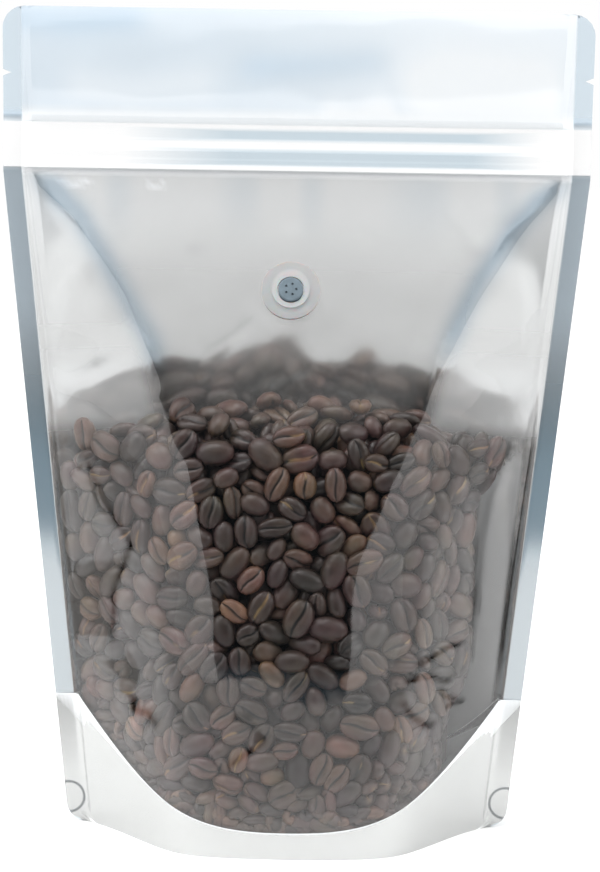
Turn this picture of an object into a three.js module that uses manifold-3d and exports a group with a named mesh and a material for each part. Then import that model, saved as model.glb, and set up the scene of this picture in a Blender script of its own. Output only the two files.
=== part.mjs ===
// Stand-up pouch for coffee beans: a heat-sealed bag with a folded bottom gusset, a press-to-close zip
// across its neck and a one-way valve on its front. Millimetres, +Z up, the front faces -Y, and the
// origin is on the table under the middle of the base.
// The bag is one solid out to its film. Above the zip it is two thin lips with the open mouth between.

import * as THREE from 'three';
import { mergeVertices } from 'three/addons/utils/BufferGeometryUtils.js';
import Module from 'manifold-3d';

// Overall form
const FLAT_WIDTH = 160; // the empty bag, and the header of the filled one
const FOOT_WIDTH = 122; // drawn in by the bulge, so the film keeps its length round it
const HEIGHT = 226; // standing height
const BELLY_HALF_DEPTH = 36.6; // how far the front bulges beyond the neck
const BELLY_LEVEL = 30; // the front is upright below this
const FOOT_HALF_DEPTH = 36.8; // front and back alike
const BACK_POWER = 1.25; // the back falls from the foot to the zip, and 1 would be straight
const TOP_CORNER_RADIUS = 6;
const FOOT_CORNER_RADIUS = 5;

// Seals and film. The real film is about 0.12 thick, and these are the least that stay a sound solid
const SIDE_SEAL = 5; // width of the flat welded edge
const SEAL_HALF_THICKNESS = 0.5;
const SEAL_EASE = 2; // the film leaves the seal in a hollow curve of about this reach
const FOOT_SEAL_EASE = 8;
const SEAL_EASE_LEVEL = 60; // where the foot's has died away
const LIP_THICKNESS = 0.6;
const SKIRT_THICKNESS = 0.8;

// Wings: flat side facets that fold off the front panel along a crease from each upper corner
const CREASE_REACH = 34; // from the seal in to the crease, over the body
const FOOT_CREASE_REACH = 20;
const CREASE_ROUNDING = 3;
const FOOT_ROUNDING = 12;
const PANEL_CROWN = 0.12; // share of the bulge that the panel loses from its middle to the seal

// Zip
const ZIP_FOOT = 181.5;
const ZIP_HEAD = 195.8;
const ZIP_HALF_THICKNESS = 1.2;
const ZIP_TAPE = 0.5;
const ZIP_LENGTH = 140;
const NECK_REACH = 2.5; // from the seal to where the lips stand fully apart
const ZIP_RIB_LEVELS = [184.2, 189.6];
const ZIP_RIB_WIDTH = 0.5;
const ZIP_GROOVE_WIDTH = 1.3;
const RIB_RELIEF = 0.5; // how far a closed rib pushes the lips out
const RIB_RELIEF_REACH = 2;
const CLEARANCE = 0.3;

// Header: the empty top of the bag nods forward above the zip
const NOD_SLOPE = 0.16;
const NOD_EASE = 3; // height over which it starts

// Tear notches
const NOTCH_LEVEL = 208;
const NOTCH_DEPTH = 2.2;
const NOTCH_HALF_HEIGHT = 0.9;

// Gusset: the folded floor, welded to the front and the back along a curve and pressed down by the beans
const WELD_RISE_MIDDLE = 7.4;
const WELD_RISE_SIDE = 35;
const WELD_POWER = 3;
const FOLD_RISE_SIDE = 36;
const FOLD_POWER = 2.2;
const GUSSET_SAG = 2.5;
const HOLLOW_INSET = 2; // the room under the gusset ends this far short of the seals

// Valve
const VALVE_X = -1.1;
const VALVE_LEVEL = 151.5;
const VALVE_RADIUS = 8;
const VALVE_COLLAR_RADIUS = 5;
const VALVE_FLOOR = -1.9; // along the valve's axis, from the film
const VALVE_FLANGE_TOP = -0.9;
const VALVE_COLLAR_TOP = -0.3;
const VALVE_FLAT_REACH = 18; // the film is drawn flat round the valve, and curves again by here
const CAP_RADIUS = 3.35;
const CAP_TOP = 0.4;
const CAP_EDGE = 0.3;
const VENT_RADIUS = 0.35;
const VENT_CIRCLE = 1.5;
const VENTS = 5;
const VENT_DEPTH = 0.8;
const ROUND_SIDES = 32;

// Mesh fineness
const CORNER_ROWS = 4;
const BODY_ROWS = 19;
const HEADER_ROWS = 4;
const PANEL_COLUMNS = 7;
const WING_COLUMNS = 6;
const GUSSET_STEPS = 10;

const FILM = new THREE.MeshStandardMaterial({ color: '#c9cfd4', roughness: 0.25, metalness: 0.35 });
const ZIP_PLASTIC = new THREE.MeshStandardMaterial({ color: '#f2f5f6', roughness: 0.3, metalness: 0 });
const VALVE_PLASTIC = new THREE.MeshStandardMaterial({ color: '#e6e9ea', roughness: 0.4, metalness: 0 });
const CAP_PLASTIC = new THREE.MeshStandardMaterial({ color: '#71828c', roughness: 0.6, metalness: 0 });

const wasm = await Module();
wasm.setup();

const { lerp, smoothstep, clamp } = THREE.MathUtils;

// Form of the bag: half-width at a level, and how far the film stands from the middle plane

function cornerInset(level) {
  const up = Math.max(0, level - (HEIGHT - TOP_CORNER_RADIUS));
  const down = Math.max(0, FOOT_CORNER_RADIUS - level);
  const top = TOP_CORNER_RADIUS - Math.sqrt(Math.max(0, TOP_CORNER_RADIUS ** 2 - up ** 2));
  const foot = FOOT_CORNER_RADIUS - Math.sqrt(Math.max(0, FOOT_CORNER_RADIUS ** 2 - down ** 2));
  return top + foot;
}

function straightHalfWidth(level) {
  const share = clamp(level / ZIP_FOOT, 0, 1);
  return lerp(FOOT_WIDTH, FLAT_WIDTH, share) / 2;
}

function halfWidth(level) {
  return straightHalfWidth(level) - cornerInset(level);
}

function sealEdge(level) {
  return straightHalfWidth(level) - SIDE_SEAL;
}

function frontDepth(level) {
  if (level >= ZIP_FOOT) return 0;
  if (level < BELLY_LEVEL) {
    const below = (BELLY_LEVEL - level) / BELLY_LEVEL;
    return lerp(BELLY_HALF_DEPTH, FOOT_HALF_DEPTH, below ** 2);
  }
  const above = (level - BELLY_LEVEL) / (ZIP_FOOT - BELLY_LEVEL);
  return BELLY_HALF_DEPTH * (1 - above ** 2);
}

function backDepth(level) {
  return FOOT_HALF_DEPTH * (1 - clamp(level / ZIP_FOOT, 0, 1) ** BACK_POWER);
}

// The crease starts in the corner under the zip and runs in and down
function creaseReach(level) {
  const high = CREASE_REACH * (1 - clamp(level / ZIP_FOOT, 0, 1) ** 5) ** 0.6;
  return Math.max(2, lerp(FOOT_CREASE_REACH, high, smoothstep(level, 0, 80)));
}

function roundedLower(a, b, rounding) {
  return (a + b - Math.hypot(a - b, rounding)) / 2;
}

// The panel between the creases and the wings outside them, blended along the crease
function bulge(x, level, depth) {
  const edge = sealEdge(level);
  const inward = edge - Math.abs(x);
  if (depth === 0 || inward <= 0) return 0;
  const blend = lerp(FOOT_ROUNDING, CREASE_ROUNDING, smoothstep(level, 20, 140));
  const rounding = Math.min(blend, depth / 2);
  const panel = depth * (1 - PANEL_CROWN * (x / edge) ** 2);
  const atSeal = roundedLower(depth * (1 - PANEL_CROWN), 0, rounding);
  const ease = lerp(FOOT_SEAL_EASE, SEAL_EASE, smoothstep(level, 0, SEAL_EASE_LEVEL));
  const wing = (depth / creaseReach(level)) * (inward ** 2 / (inward + ease));
  return roundedLower(panel, wing, rounding) - atSeal;
}

// The header and the zip hold the two films a little apart
function neckDepth(x, level) {
  const zip = ZIP_HALF_THICKNESS + CLEARANCE + LIP_THICKNESS - SEAL_HALF_THICKNESS;
  const mouth = CLEARANCE + LIP_THICKNESS - SEAL_HALF_THICKNESS;
  const ribs = ZIP_RIB_LEVELS.map((rib) => 1 - smoothstep(Math.abs(level - rib), 0, RIB_RELIEF_REACH));
  const relief = RIB_RELIEF * Math.max(...ribs);
  const spread = lerp(zip, mouth, smoothstep(level, ZIP_HEAD, HEIGHT)) + relief;
  return spread * smoothstep(sealEdge(level) - Math.abs(x), 0, NECK_REACH);
}

// How far the header has nodded forward at a level
function nod(level) {
  const up = Math.max(0, level - ZIP_HEAD);
  return NOD_SLOPE * (up < NOD_EASE ? up ** 2 / (2 * NOD_EASE) : up - NOD_EASE / 2);
}

function looseFront(x, level) {
  return SEAL_HALF_THICKNESS + neckDepth(x, level) + bulge(x, level, frontDepth(level));
}

function backFilm(x, level) {
  return SEAL_HALF_THICKNESS + neckDepth(x, level) + bulge(x, level, backDepth(level));
}

// The front film's slopes at the valve
const PROBE = 0.5;
const valveDepth = looseFront(VALVE_X, VALVE_LEVEL);
const valveSlopeX =
  (looseFront(VALVE_X + PROBE, VALVE_LEVEL) - looseFront(VALVE_X - PROBE, VALVE_LEVEL)) / (2 * PROBE);
const valveSlopeZ =
  (looseFront(VALVE_X, VALVE_LEVEL + PROBE) - looseFront(VALVE_X, VALVE_LEVEL - PROBE)) / (2 * PROBE);

// The front film is drawn flat round the valve
function frontFilm(x, level) {
  const flat = valveDepth + valveSlopeX * (x - VALVE_X) + valveSlopeZ * (level - VALVE_LEVEL);
  const away = Math.hypot(x - VALVE_X, level - VALVE_LEVEL);
  const hold = 1 - smoothstep(away, VALVE_RADIUS + 1, VALVE_FLAT_REACH);
  return lerp(looseFront(x, level), flat, hold);
}

// The gusset's underside, by shares of the half-width and of the half-depth: a fold line along the middle
// that rises to each side, and the curved welds
function weldLevel(side) {
  return lerp(WELD_RISE_MIDDLE, WELD_RISE_SIDE, Math.abs(side) ** WELD_POWER);
}

function gussetLevel(side, outward) {
  const fold = FOLD_RISE_SIDE * Math.abs(side) ** FOLD_POWER;
  return lerp(fold, weldLevel(side), outward ** 2) - GUSSET_SAG * (1 - Math.abs(side));
}

// Rows and columns of the bag's mesh

function spread(from, to, steps, shape = (t) => t) {
  return Array.from({ length: steps }, (_, i) => lerp(from, to, shape((i + 1) / steps)));
}

const easeOut = (t) => Math.sin((t * Math.PI) / 2);
const easeIn = (t) => 1 - Math.cos((t * Math.PI) / 2);

const levels = [
  0,
  ...spread(0, FOOT_CORNER_RADIUS, CORNER_ROWS, easeIn),
  ...spread(FOOT_CORNER_RADIUS, ZIP_FOOT, BODY_ROWS, (t) => lerp(t, easeOut(t), 0.6)),
  ...ZIP_RIB_LEVELS.flatMap((rib) => [rib - RIB_RELIEF_REACH, rib, rib + RIB_RELIEF_REACH]),
  ZIP_HEAD,
  ZIP_HEAD + NOD_EASE,
  ...spread(ZIP_HEAD + NOD_EASE, HEIGHT - TOP_CORNER_RADIUS, HEADER_ROWS),
  ...spread(HEIGHT - TOP_CORNER_RADIUS, HEIGHT, CORNER_ROWS, easeOut),
];

// One column follows the crease, so the fold stays sharp, and one follows the edge of the seal
function columnsAt(level) {
  const outer = halfWidth(level);
  const edge = Math.min(sealEdge(level), outer - 1);
  const crease = edge - Math.max(4, creaseReach(level));
  const right = [...spread(0, crease, PANEL_COLUMNS), ...spread(crease, edge, WING_COLUMNS), outer];
  return [...right.map((x) => -x).reverse(), 0, ...right];
}

// Closed solid between two grids of points that share their rows and columns
function closedGrid(front, back) {
  const rows = front.length;
  const columns = front[0].length;
  const positions = [front, back].flatMap((grid) => grid.flatMap((row) => row.flat()));
  const at = (side, row, column) => (side * rows + row) * columns + column;
  const index = [];
  const quad = (a, b, c, d) => index.push(a, b, c, a, c, d);
  for (let i = 0; i < rows - 1; i++) {
    for (let j = 0; j < columns - 1; j++) {
      quad(at(0, i, j), at(0, i, j + 1), at(0, i + 1, j + 1), at(0, i + 1, j));
      quad(at(1, i, j), at(1, i + 1, j), at(1, i + 1, j + 1), at(1, i, j + 1));
    }
    const last = columns - 1;
    quad(at(0, i, 0), at(0, i + 1, 0), at(1, i + 1, 0), at(1, i, 0));
    quad(at(0, i, last), at(1, i, last), at(1, i + 1, last), at(0, i + 1, last));
  }
  for (let j = 0; j < columns - 1; j++) {
    const last = rows - 1;
    quad(at(0, 0, j), at(1, 0, j), at(1, 0, j + 1), at(0, 0, j + 1));
    quad(at(0, last, j), at(0, last, j + 1), at(1, last, j + 1), at(1, last, j));
  }
  const geometry = new THREE.BufferGeometry();
  geometry.setAttribute('position', new THREE.Float32BufferAttribute(positions, 3));
  geometry.setIndex(index);
  return geometry;
}

// Joining and cutting

function toSolid(geometry) {
  const bare = geometry.clone();
  bare.deleteAttribute('normal');
  bare.deleteAttribute('uv');
  const merged = mergeVertices(bare, 1e-4);
  const vertProperties = new Float32Array(merged.attributes.position.array);
  const triVerts = new Uint32Array(merged.index.array);
  return new wasm.Manifold(new wasm.Mesh({ numProp: 3, vertProperties, triVerts }));
}

function toGeometry(solid) {
  const mesh = solid.getMesh();
  const geometry = new THREE.BufferGeometry();
  geometry.setAttribute('position', new THREE.BufferAttribute(mesh.vertProperties, 3));
  geometry.setIndex(new THREE.BufferAttribute(mesh.triVerts, 1));
  geometry.computeVertexNormals();
  return geometry;
}

// Pieces of the bag

function filledBag() {
  const grid = (side, film) =>
    levels.map((level) => columnsAt(level).map((x) => [x, side * film(x, level) - nod(level), level]));
  return toSolid(closedGrid(grid(-1, frontFilm), grid(1, backFilm)));
}

function mouth() {
  const reach = ZIP_LENGTH / 2 + 1;
  const inside = [...levels.filter((level) => level > ZIP_FOOT && level < HEIGHT), HEIGHT + 1];
  const gap = (level) => {
    const lip = neckDepth(0, level) + SEAL_HALF_THICKNESS - LIP_THICKNESS;
    return clamp(lip, CLEARANCE, ZIP_HALF_THICKNESS + CLEARANCE);
  };
  const grid = (side) =>
    inside.map((level) => [-reach, reach].map((x) => [x, side * gap(level) - nod(level), level]));
  return toSolid(closedGrid(grid(-1), grid(1)));
}

// The room under the gusset, between the two skirts. Its roof dips below the table where the gusset rests
function underGusset() {
  const below = -1;
  const across = [-1, ...spread(-1, 1, 2 * GUSSET_STEPS)];
  const through = [-1, ...spread(-1, 1, GUSSET_STEPS)];
  const inside = (t, x, level) => t * ((t < 0 ? looseFront : backFilm)(x, level) - SKIRT_THICKNESS);
  const floor = through.map((t) =>
    across.map((s) => {
      const x = s * (sealEdge(0) - HOLLOW_INSET);
      return [x, inside(t, x, 0), below];
    }),
  );
  const roof = through.map((t) =>
    across.map((s) => {
      const weld = weldLevel(s);
      const x = s * (sealEdge(weld) - HOLLOW_INSET);
      return [x, inside(t, x, weld), Math.max(gussetLevel(s, t), below / 2)];
    }),
  );
  return toSolid(closedGrid(roof, floor));
}

function tearNotch(side) {
  const edge = halfWidth(NOTCH_LEVEL);
  const outline = new THREE.Shape([
    new THREE.Vector2(edge + 1, NOTCH_LEVEL - NOTCH_HALF_HEIGHT),
    new THREE.Vector2(edge + 1, NOTCH_LEVEL + NOTCH_HALF_HEIGHT),
    new THREE.Vector2(edge - NOTCH_DEPTH, NOTCH_LEVEL),
  ]);
  const through = 8 * SEAL_HALF_THICKNESS;
  const wedge = new THREE.ExtrudeGeometry(outline, { depth: through, bevelEnabled: false });
  wedge.translate(0, 0, -through / 2).rotateX(Math.PI / 2);
  if (side < 0) wedge.rotateZ(Math.PI);
  wedge.translate(0, -nod(NOTCH_LEVEL), 0);
  return toSolid(wedge);
}

// The valve's own axis is +Y of a group that stands square to the film
function valveFrame() {
  const frame = new THREE.Group();
  const outward = new THREE.Vector3(-valveSlopeX, -1, -valveSlopeZ).normalize();
  frame.position.set(VALVE_X, -valveDepth, VALVE_LEVEL);
  frame.quaternion.setFromUnitVectors(new THREE.Vector3(0, 1, 0), outward);
  frame.updateMatrixWorld();
  return frame;
}

function valvePocket() {
  const floor = VALVE_FLOOR - CLEARANCE;
  const clear = 4;
  const radius = VALVE_RADIUS + CLEARANCE;
  const drum = new THREE.CylinderGeometry(radius, radius, clear - floor, ROUND_SIDES);
  drum.translate(0, (clear + floor) / 2, 0);
  return toSolid(drum.applyMatrix4(valveFrame().matrixWorld));
}

function pouch() {
  let bag = filledBag().subtract(mouth()).subtract(underGusset()).subtract(valvePocket());
  for (const side of [-1, 1]) bag = bag.subtract(tearNotch(side));
  return named('pouch', toGeometry(bag), FILM);
}

// The zip: a tape welded inside each lip. The back one has a rib at each level, the front one a groove

function zipTape(name, side, ribs) {
  const outside = ZIP_HALF_THICKNESS;
  const face = ZIP_HALF_THICKNESS - ZIP_TAPE;
  const tip = -face + CLEARANCE;
  const outline = [[ZIP_FOOT + 1, outside], [ZIP_FOOT + 1, face]];
  for (const rib of ribs) {
    const [low, high] = [rib - ZIP_RIB_WIDTH / 2, rib + ZIP_RIB_WIDTH / 2];
    outline.push([low, face], [low, tip], [high, tip], [high, face]);
  }
  outline.push([ZIP_HEAD - 1, face], [ZIP_HEAD - 1, outside]);
  const shape = new THREE.Shape(outline.map(([level, y]) => new THREE.Vector2(side * y, level)));
  const tape = new THREE.ExtrudeGeometry(shape, { depth: ZIP_LENGTH, bevelEnabled: false });
  tape.translate(0, 0, -ZIP_LENGTH / 2).rotateX(Math.PI / 2).rotateZ(Math.PI / 2);
  return named(name, tape, ZIP_PLASTIC);
}

// The valve: a flange under the film with a collar, and a vented cap in the collar

function turned(profile) {
  const points = profile.map(([radius, height]) => new THREE.Vector2(radius, height));
  return new THREE.LatheGeometry(points, ROUND_SIDES);
}

function valveFlange() {
  const bore = CAP_RADIUS + CLEARANCE;
  const ring = turned([
    [bore, VALVE_FLOOR],
    [VALVE_RADIUS, VALVE_FLOOR],
    [VALVE_RADIUS, VALVE_FLANGE_TOP],
    [VALVE_COLLAR_RADIUS, VALVE_FLANGE_TOP],
    [VALVE_COLLAR_RADIUS, VALVE_COLLAR_TOP],
    [bore, VALVE_COLLAR_TOP],
    [bore, VALVE_FLOOR],
  ]);
  return named('valve_flange', toGeometry(toSolid(ring)), VALVE_PLASTIC);
}

function valveCap() {
  let cap = toSolid(
    turned([
      [0, VALVE_FLOOR],
      [CAP_RADIUS, VALVE_FLOOR],
      [CAP_RADIUS, CAP_TOP - CAP_EDGE],
      [CAP_RADIUS - CAP_EDGE, CAP_TOP],
      [0, CAP_TOP],
    ]),
  );
  for (let i = 0; i < VENTS; i++) {
    const turn = (2 * Math.PI * i) / VENTS;
    const vent = new THREE.CylinderGeometry(VENT_RADIUS, VENT_RADIUS, 2 * VENT_DEPTH, 8);
    vent.translate(VENT_CIRCLE * Math.cos(turn), CAP_TOP, VENT_CIRCLE * Math.sin(turn));
    cap = cap.subtract(toSolid(vent));
  }
  return named('valve_cap', toGeometry(cap), CAP_PLASTIC);
}

function named(name, geometry, material) {
  const mesh = new THREE.Mesh(geometry, material);
  mesh.name = name;
  return mesh;
}

const valve = valveFrame();
valve.add(valveFlange(), valveCap());

const half = ZIP_GROOVE_WIDTH / 2 + ZIP_RIB_WIDTH / 2;
const grooveSides = ZIP_RIB_LEVELS.flatMap((rib) => [rib - half, rib + half]);

const object = new THREE.Group();
object.add(
  pouch(),
  zipTape('zip_front', -1, grooveSides),
  zipTape('zip_back', 1, ZIP_RIB_LEVELS),
  valve,
);

export default object;
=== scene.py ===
"""Stand-up pouch of roasted coffee beans.

A clear front film is welded to a foil back and to a folded foil gusset. The zip tapes and the valve are
the CAD part's own solids. The beans lie behind the film, settled by a small packing routine.
"""

import logging
import math
from dataclasses import dataclass
from enum import Enum
from typing import Any

import bpy
import numpy as np
from mathutils import Matrix, Vector

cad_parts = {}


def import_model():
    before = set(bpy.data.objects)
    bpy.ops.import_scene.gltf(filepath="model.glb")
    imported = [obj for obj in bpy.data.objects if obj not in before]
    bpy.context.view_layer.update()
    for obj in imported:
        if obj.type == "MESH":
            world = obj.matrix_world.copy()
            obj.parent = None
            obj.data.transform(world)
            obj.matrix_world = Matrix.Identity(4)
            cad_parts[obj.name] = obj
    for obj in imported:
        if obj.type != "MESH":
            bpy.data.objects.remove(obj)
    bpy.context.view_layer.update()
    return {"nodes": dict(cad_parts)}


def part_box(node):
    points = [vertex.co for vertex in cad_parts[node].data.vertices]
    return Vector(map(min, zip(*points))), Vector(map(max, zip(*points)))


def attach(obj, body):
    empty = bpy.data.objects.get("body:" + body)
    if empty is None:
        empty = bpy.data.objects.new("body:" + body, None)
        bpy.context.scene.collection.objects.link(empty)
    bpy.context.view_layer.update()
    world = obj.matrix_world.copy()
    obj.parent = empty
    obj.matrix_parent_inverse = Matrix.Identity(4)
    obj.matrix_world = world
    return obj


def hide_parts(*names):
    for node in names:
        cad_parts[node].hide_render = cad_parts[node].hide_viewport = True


LOG = logging.getLogger("pouch")
MM = 0.001

Array = np.ndarray


def smooth(value: Any, low: float, high: float) -> Array:
    """Ease from 0 to 1 between two values.

    Args:
        value: Numbers to ease.
        low: Where the result starts to rise.
        high: Where the result reaches 1.

    Returns:
        The eased shares.
    """
    share = np.clip((np.asarray(value, float) - low) / (high - low), 0.0, 1.0)
    return share * share * (3.0 - 2.0 * share)


def mix(start: Any, end: Any, share: Any) -> Any:
    """Blend two values by a share."""
    return start + (end - start) * share


def to_linear(colour: str) -> tuple[float, float, float, float]:
    """Turn an sRGB hex colour into linear RGBA.

    Args:
        colour: Six hex digits after a hash.

    Returns:
        Linear red, green, blue and full alpha.
    """
    parts = [int(colour[i : i + 2], 16) / 255 for i in (1, 3, 5)]
    red, green, blue = (c / 12.92 if c <= 0.04045 else ((c + 0.055) / 1.055) ** 2.4 for c in parts)
    return red, green, blue, 1.0


def add_node(
    tree: bpy.types.NodeTree,
    kind: str,
    values: dict[Any, Any] | None = None,
    links: dict[Any, bpy.types.NodeSocket] | None = None,
    stops: tuple[tuple[float, str], ...] = (),
    **settings: Any,
) -> bpy.types.Node:
    """Add a node with its settings, socket values and incoming links.

    Args:
        tree: Node tree to add to.
        kind: Blender's node type.
        values: Socket name or number to fixed value.
        links: Socket name or number to the output it reads.
        stops: Place from 0 to 1 and colour of each stop, where the node is a colour ramp.
        settings: Node properties by name.

    Returns:
        The new node.
    """
    node = tree.nodes.new(kind)
    for name, value in settings.items():
        setattr(node, name, value)
    for key, value in (values or {}).items():
        node.inputs[key].default_value = value
    for key, source in (links or {}).items():
        tree.links.new(source, node.inputs[key])
    for _ in stops[2:]:
        node.color_ramp.elements.new(0.5)
    for i, (place, colour) in enumerate(stops):
        node.color_ramp.elements[i].position, node.color_ramp.elements[i].color = place, to_linear(colour)
    return node


def new_material(name: str) -> tuple[bpy.types.Material, bpy.types.NodeTree]:
    """Make an empty node material.

    Args:
        name: The material's name.

    Returns:
        The material and its empty tree.
    """
    material = bpy.data.materials.new(name)
    material.use_nodes = True
    material.node_tree.nodes.clear()
    return material, material.node_tree


def show_surface(tree: bpy.types.NodeTree, shader: bpy.types.NodeSocket) -> None:
    """Send a shader to the material's surface output."""
    add_node(tree, "ShaderNodeOutputMaterial", links={"Surface": shader})


# Form of the bag


@dataclass(frozen=True)
class PouchForm:
    """The bag's own sizes in millimetres, the same as the CAD solid's, and the film's place by level."""

    flat_width: float = 160.0
    foot_width: float = 122.0
    height: float = 226.0
    belly: float = 36.6
    belly_level: float = 30.0
    foot: float = 36.8
    top_corner: float = 6.0
    foot_corner: float = 5.0
    side_seal: float = 5.0
    seal_half: float = 0.35
    seal_start: float = 2.0
    foot_start: float = 8.0
    back_power: float = 1.25
    crease_reach: float = 34.0
    foot_reach: float = 20.0
    crease_rounding: float = 3.0
    foot_rounding: float = 12.0
    crown: float = 0.12
    zip_foot: float = 181.5
    zip_head: float = 195.8
    zip_half: float = 1.6
    mouth_half: float = 0.4
    bare_low: float = 50.5
    bare_high: float = 61.0
    rib_levels: tuple[float, ...] = (184.2, 189.6)
    rib_relief: float = 0.5
    rib_reach: float = 2.0
    neck_reach: float = 2.5
    notch_level: float = 208.0
    notch_depth: float = 2.2
    notch_half: float = 0.9
    weld_middle: float = 7.4
    weld_side: float = 35.0
    weld_top_side: float = 36.5
    weld_top_share: float = 0.9
    fold_side: float = 36.0
    sag: float = 2.5
    valve_x: float = -1.1
    valve_level: float = 151.5
    valve_radius: float = 8.0
    valve_flat: float = 18.0
    valve_hole: float = 3.5
    valve_lift: float = 0.35
    nod_slope: float = 0.16
    nod_ease: float = 1.0

    def straight_half_width(self, level: Any) -> Array:
        """Half-width at a level, before corners and notches."""
        return mix(self.foot_width, self.flat_width, np.clip(np.asarray(level) / self.zip_foot, 0, 1)) / 2

    def half_width(self, level: Any) -> Array:
        """Half-width at a level with rounded corners and tear notches."""
        level = np.asarray(level, float)
        up = np.clip(level - (self.height - self.top_corner), 0, self.top_corner)
        down = np.clip(self.foot_corner - level, 0, self.foot_corner)
        top = self.top_corner - np.sqrt(self.top_corner**2 - up**2)
        foot = self.foot_corner - np.sqrt(self.foot_corner**2 - down**2)
        notch = self.notch_depth * np.clip(1 - np.abs(level - self.notch_level) / self.notch_half, 0, 1)
        return self.straight_half_width(level) - top - foot - notch

    def seal_edge(self, level: Any) -> Array:
        """Distance from the middle to the inner edge of the side seal."""
        return self.straight_half_width(level) - self.side_seal

    def belly_depth(self, level: Any, back: bool = False) -> Array:
        """How far the middle of a panel bulges at a level: the front rounder, the back straighter."""
        level = np.asarray(level, float)
        if back:
            return self.foot * (1 - np.clip(level / self.zip_foot, 0, 1) ** self.back_power)
        below = np.clip((self.belly_level - level) / self.belly_level, 0, 1)
        above = np.clip((level - self.belly_level) / (self.zip_foot - self.belly_level), 0, 1)
        low = mix(self.belly, self.foot, below**2)
        return np.where(level < self.belly_level, low, self.belly * (1 - above**2))

    def crease_in(self, level: Any) -> Array:
        """Distance from the side seal in to the crease at a level."""
        share = np.clip(np.asarray(level, float) / self.zip_foot, 0, 1)
        high = self.crease_reach * (1 - share**5) ** 0.6
        return np.maximum(mix(self.foot_reach, high, smooth(level, 0, 80)), 2.0)

    def bulge(self, x: Any, level: Any, back: bool = False) -> Array:
        """Bulge of a panel: a crowned middle and flat wings, blended along the crease."""
        depth = self.belly_depth(level, back)
        edge = self.seal_edge(level)
        inward = np.maximum(edge - np.abs(x), 0)
        start = mix(self.foot_start, self.seal_start, smooth(level, 0, 60))
        eased = inward**2 / (inward + start)
        blend = mix(self.foot_rounding, self.crease_rounding, smooth(level, 20, 140))
        rounding = np.minimum(blend, depth / 2)
        panel = depth * (1 - self.crown * (x / edge) ** 2)
        wing = depth / self.crease_in(level) * eased
        lower = (panel + wing - np.hypot(panel - wing, rounding)) / 2
        rim = depth * (1 - self.crown)
        at_seal = (rim - np.hypot(rim, rounding)) / 2
        return np.where((inward > 0) & (depth > 0), lower - at_seal, 0.0)

    def neck(self, x: Any, level: Any) -> Array:
        """How far the zip and the header hold the films apart."""
        level = np.asarray(level, float)
        ribs = [1 - smooth(np.abs(level - rib), 0, self.rib_reach) for rib in self.rib_levels]
        relief = self.rib_relief * np.max(ribs, axis=0)
        spread = mix(self.zip_half, self.mouth_half, smooth(level, self.zip_head, self.height)) + relief
        return spread * smooth(self.seal_edge(level) - np.abs(x), 0, self.neck_reach)

    def film(self, x: Any, level: Any, back: bool = False) -> Array:
        """Distance of a film from the middle plane."""
        return self.seal_half + self.neck(x, level) + self.bulge(x, level, back)

    def film_slopes(self, x: Any, level: Any, back: bool = False) -> tuple[Array, Array]:
        """Slopes of a film along X and along Z."""
        along_x = self.film(x + 0.5, level, back) - self.film(x - 0.5, level, back)
        along_z = self.film(x, level + 0.5, back) - self.film(x, level - 0.5, back)
        return along_x, along_z

    def bare_from(self, level: Any) -> Array:
        """Where the beans end on the right, at a crease that lays the film against the foil."""
        end = mix(self.bare_low, self.bare_high, smooth(level, 90, 110))
        return end - 8.0 * smooth(-np.asarray(level), -50, -28)

    def nod(self, level: Any) -> Array:
        """How far the header nods forward above the zip."""
        up = np.maximum(np.asarray(level, float) - self.zip_head, 0)
        ease = self.nod_ease
        return self.nod_slope * np.where(up < ease, up**2 / (2 * ease), up - ease / 2)

    def front(self, x: Any, level: Any) -> Array:
        """Distance of the front film from the middle plane, flat round the valve."""
        middle = self.film(self.valve_x, self.valve_level)
        along_x, along_z = self.film_slopes(self.valve_x, self.valve_level)
        off_x, off_z = x - self.valve_x, level - self.valve_level
        flat = middle + along_x * off_x + along_z * off_z
        hold = 1 - smooth(np.hypot(off_x, off_z), self.valve_radius + 1, self.valve_flat)
        return mix(self.film(x, level), flat, hold)

    def weld(self, side: Any) -> Array:
        """Level of the gusset's weld, by the share of the half-width."""
        return mix(self.weld_middle, self.weld_side, np.abs(side) ** 3)

    def weld_top(self, side: Any) -> Array:
        """Upper edge of the weld, which is wider towards the sides and level across the side seals."""
        share = np.minimum(np.abs(side) / self.weld_top_share, 1.0)
        return mix(self.weld_middle, self.weld_top_side, share**2.8)

    def gusset(self, side: Any, outward: Any) -> Array:
        """Level of the gusset, by shares of the half-width and of the half-depth."""
        fold = self.fold_side * np.abs(side) ** 2.2
        sag = self.sag * (1 - np.abs(side))
        return np.maximum(mix(fold, self.weld(side), np.asarray(outward) ** 2) - sag, 0.0)


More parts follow.
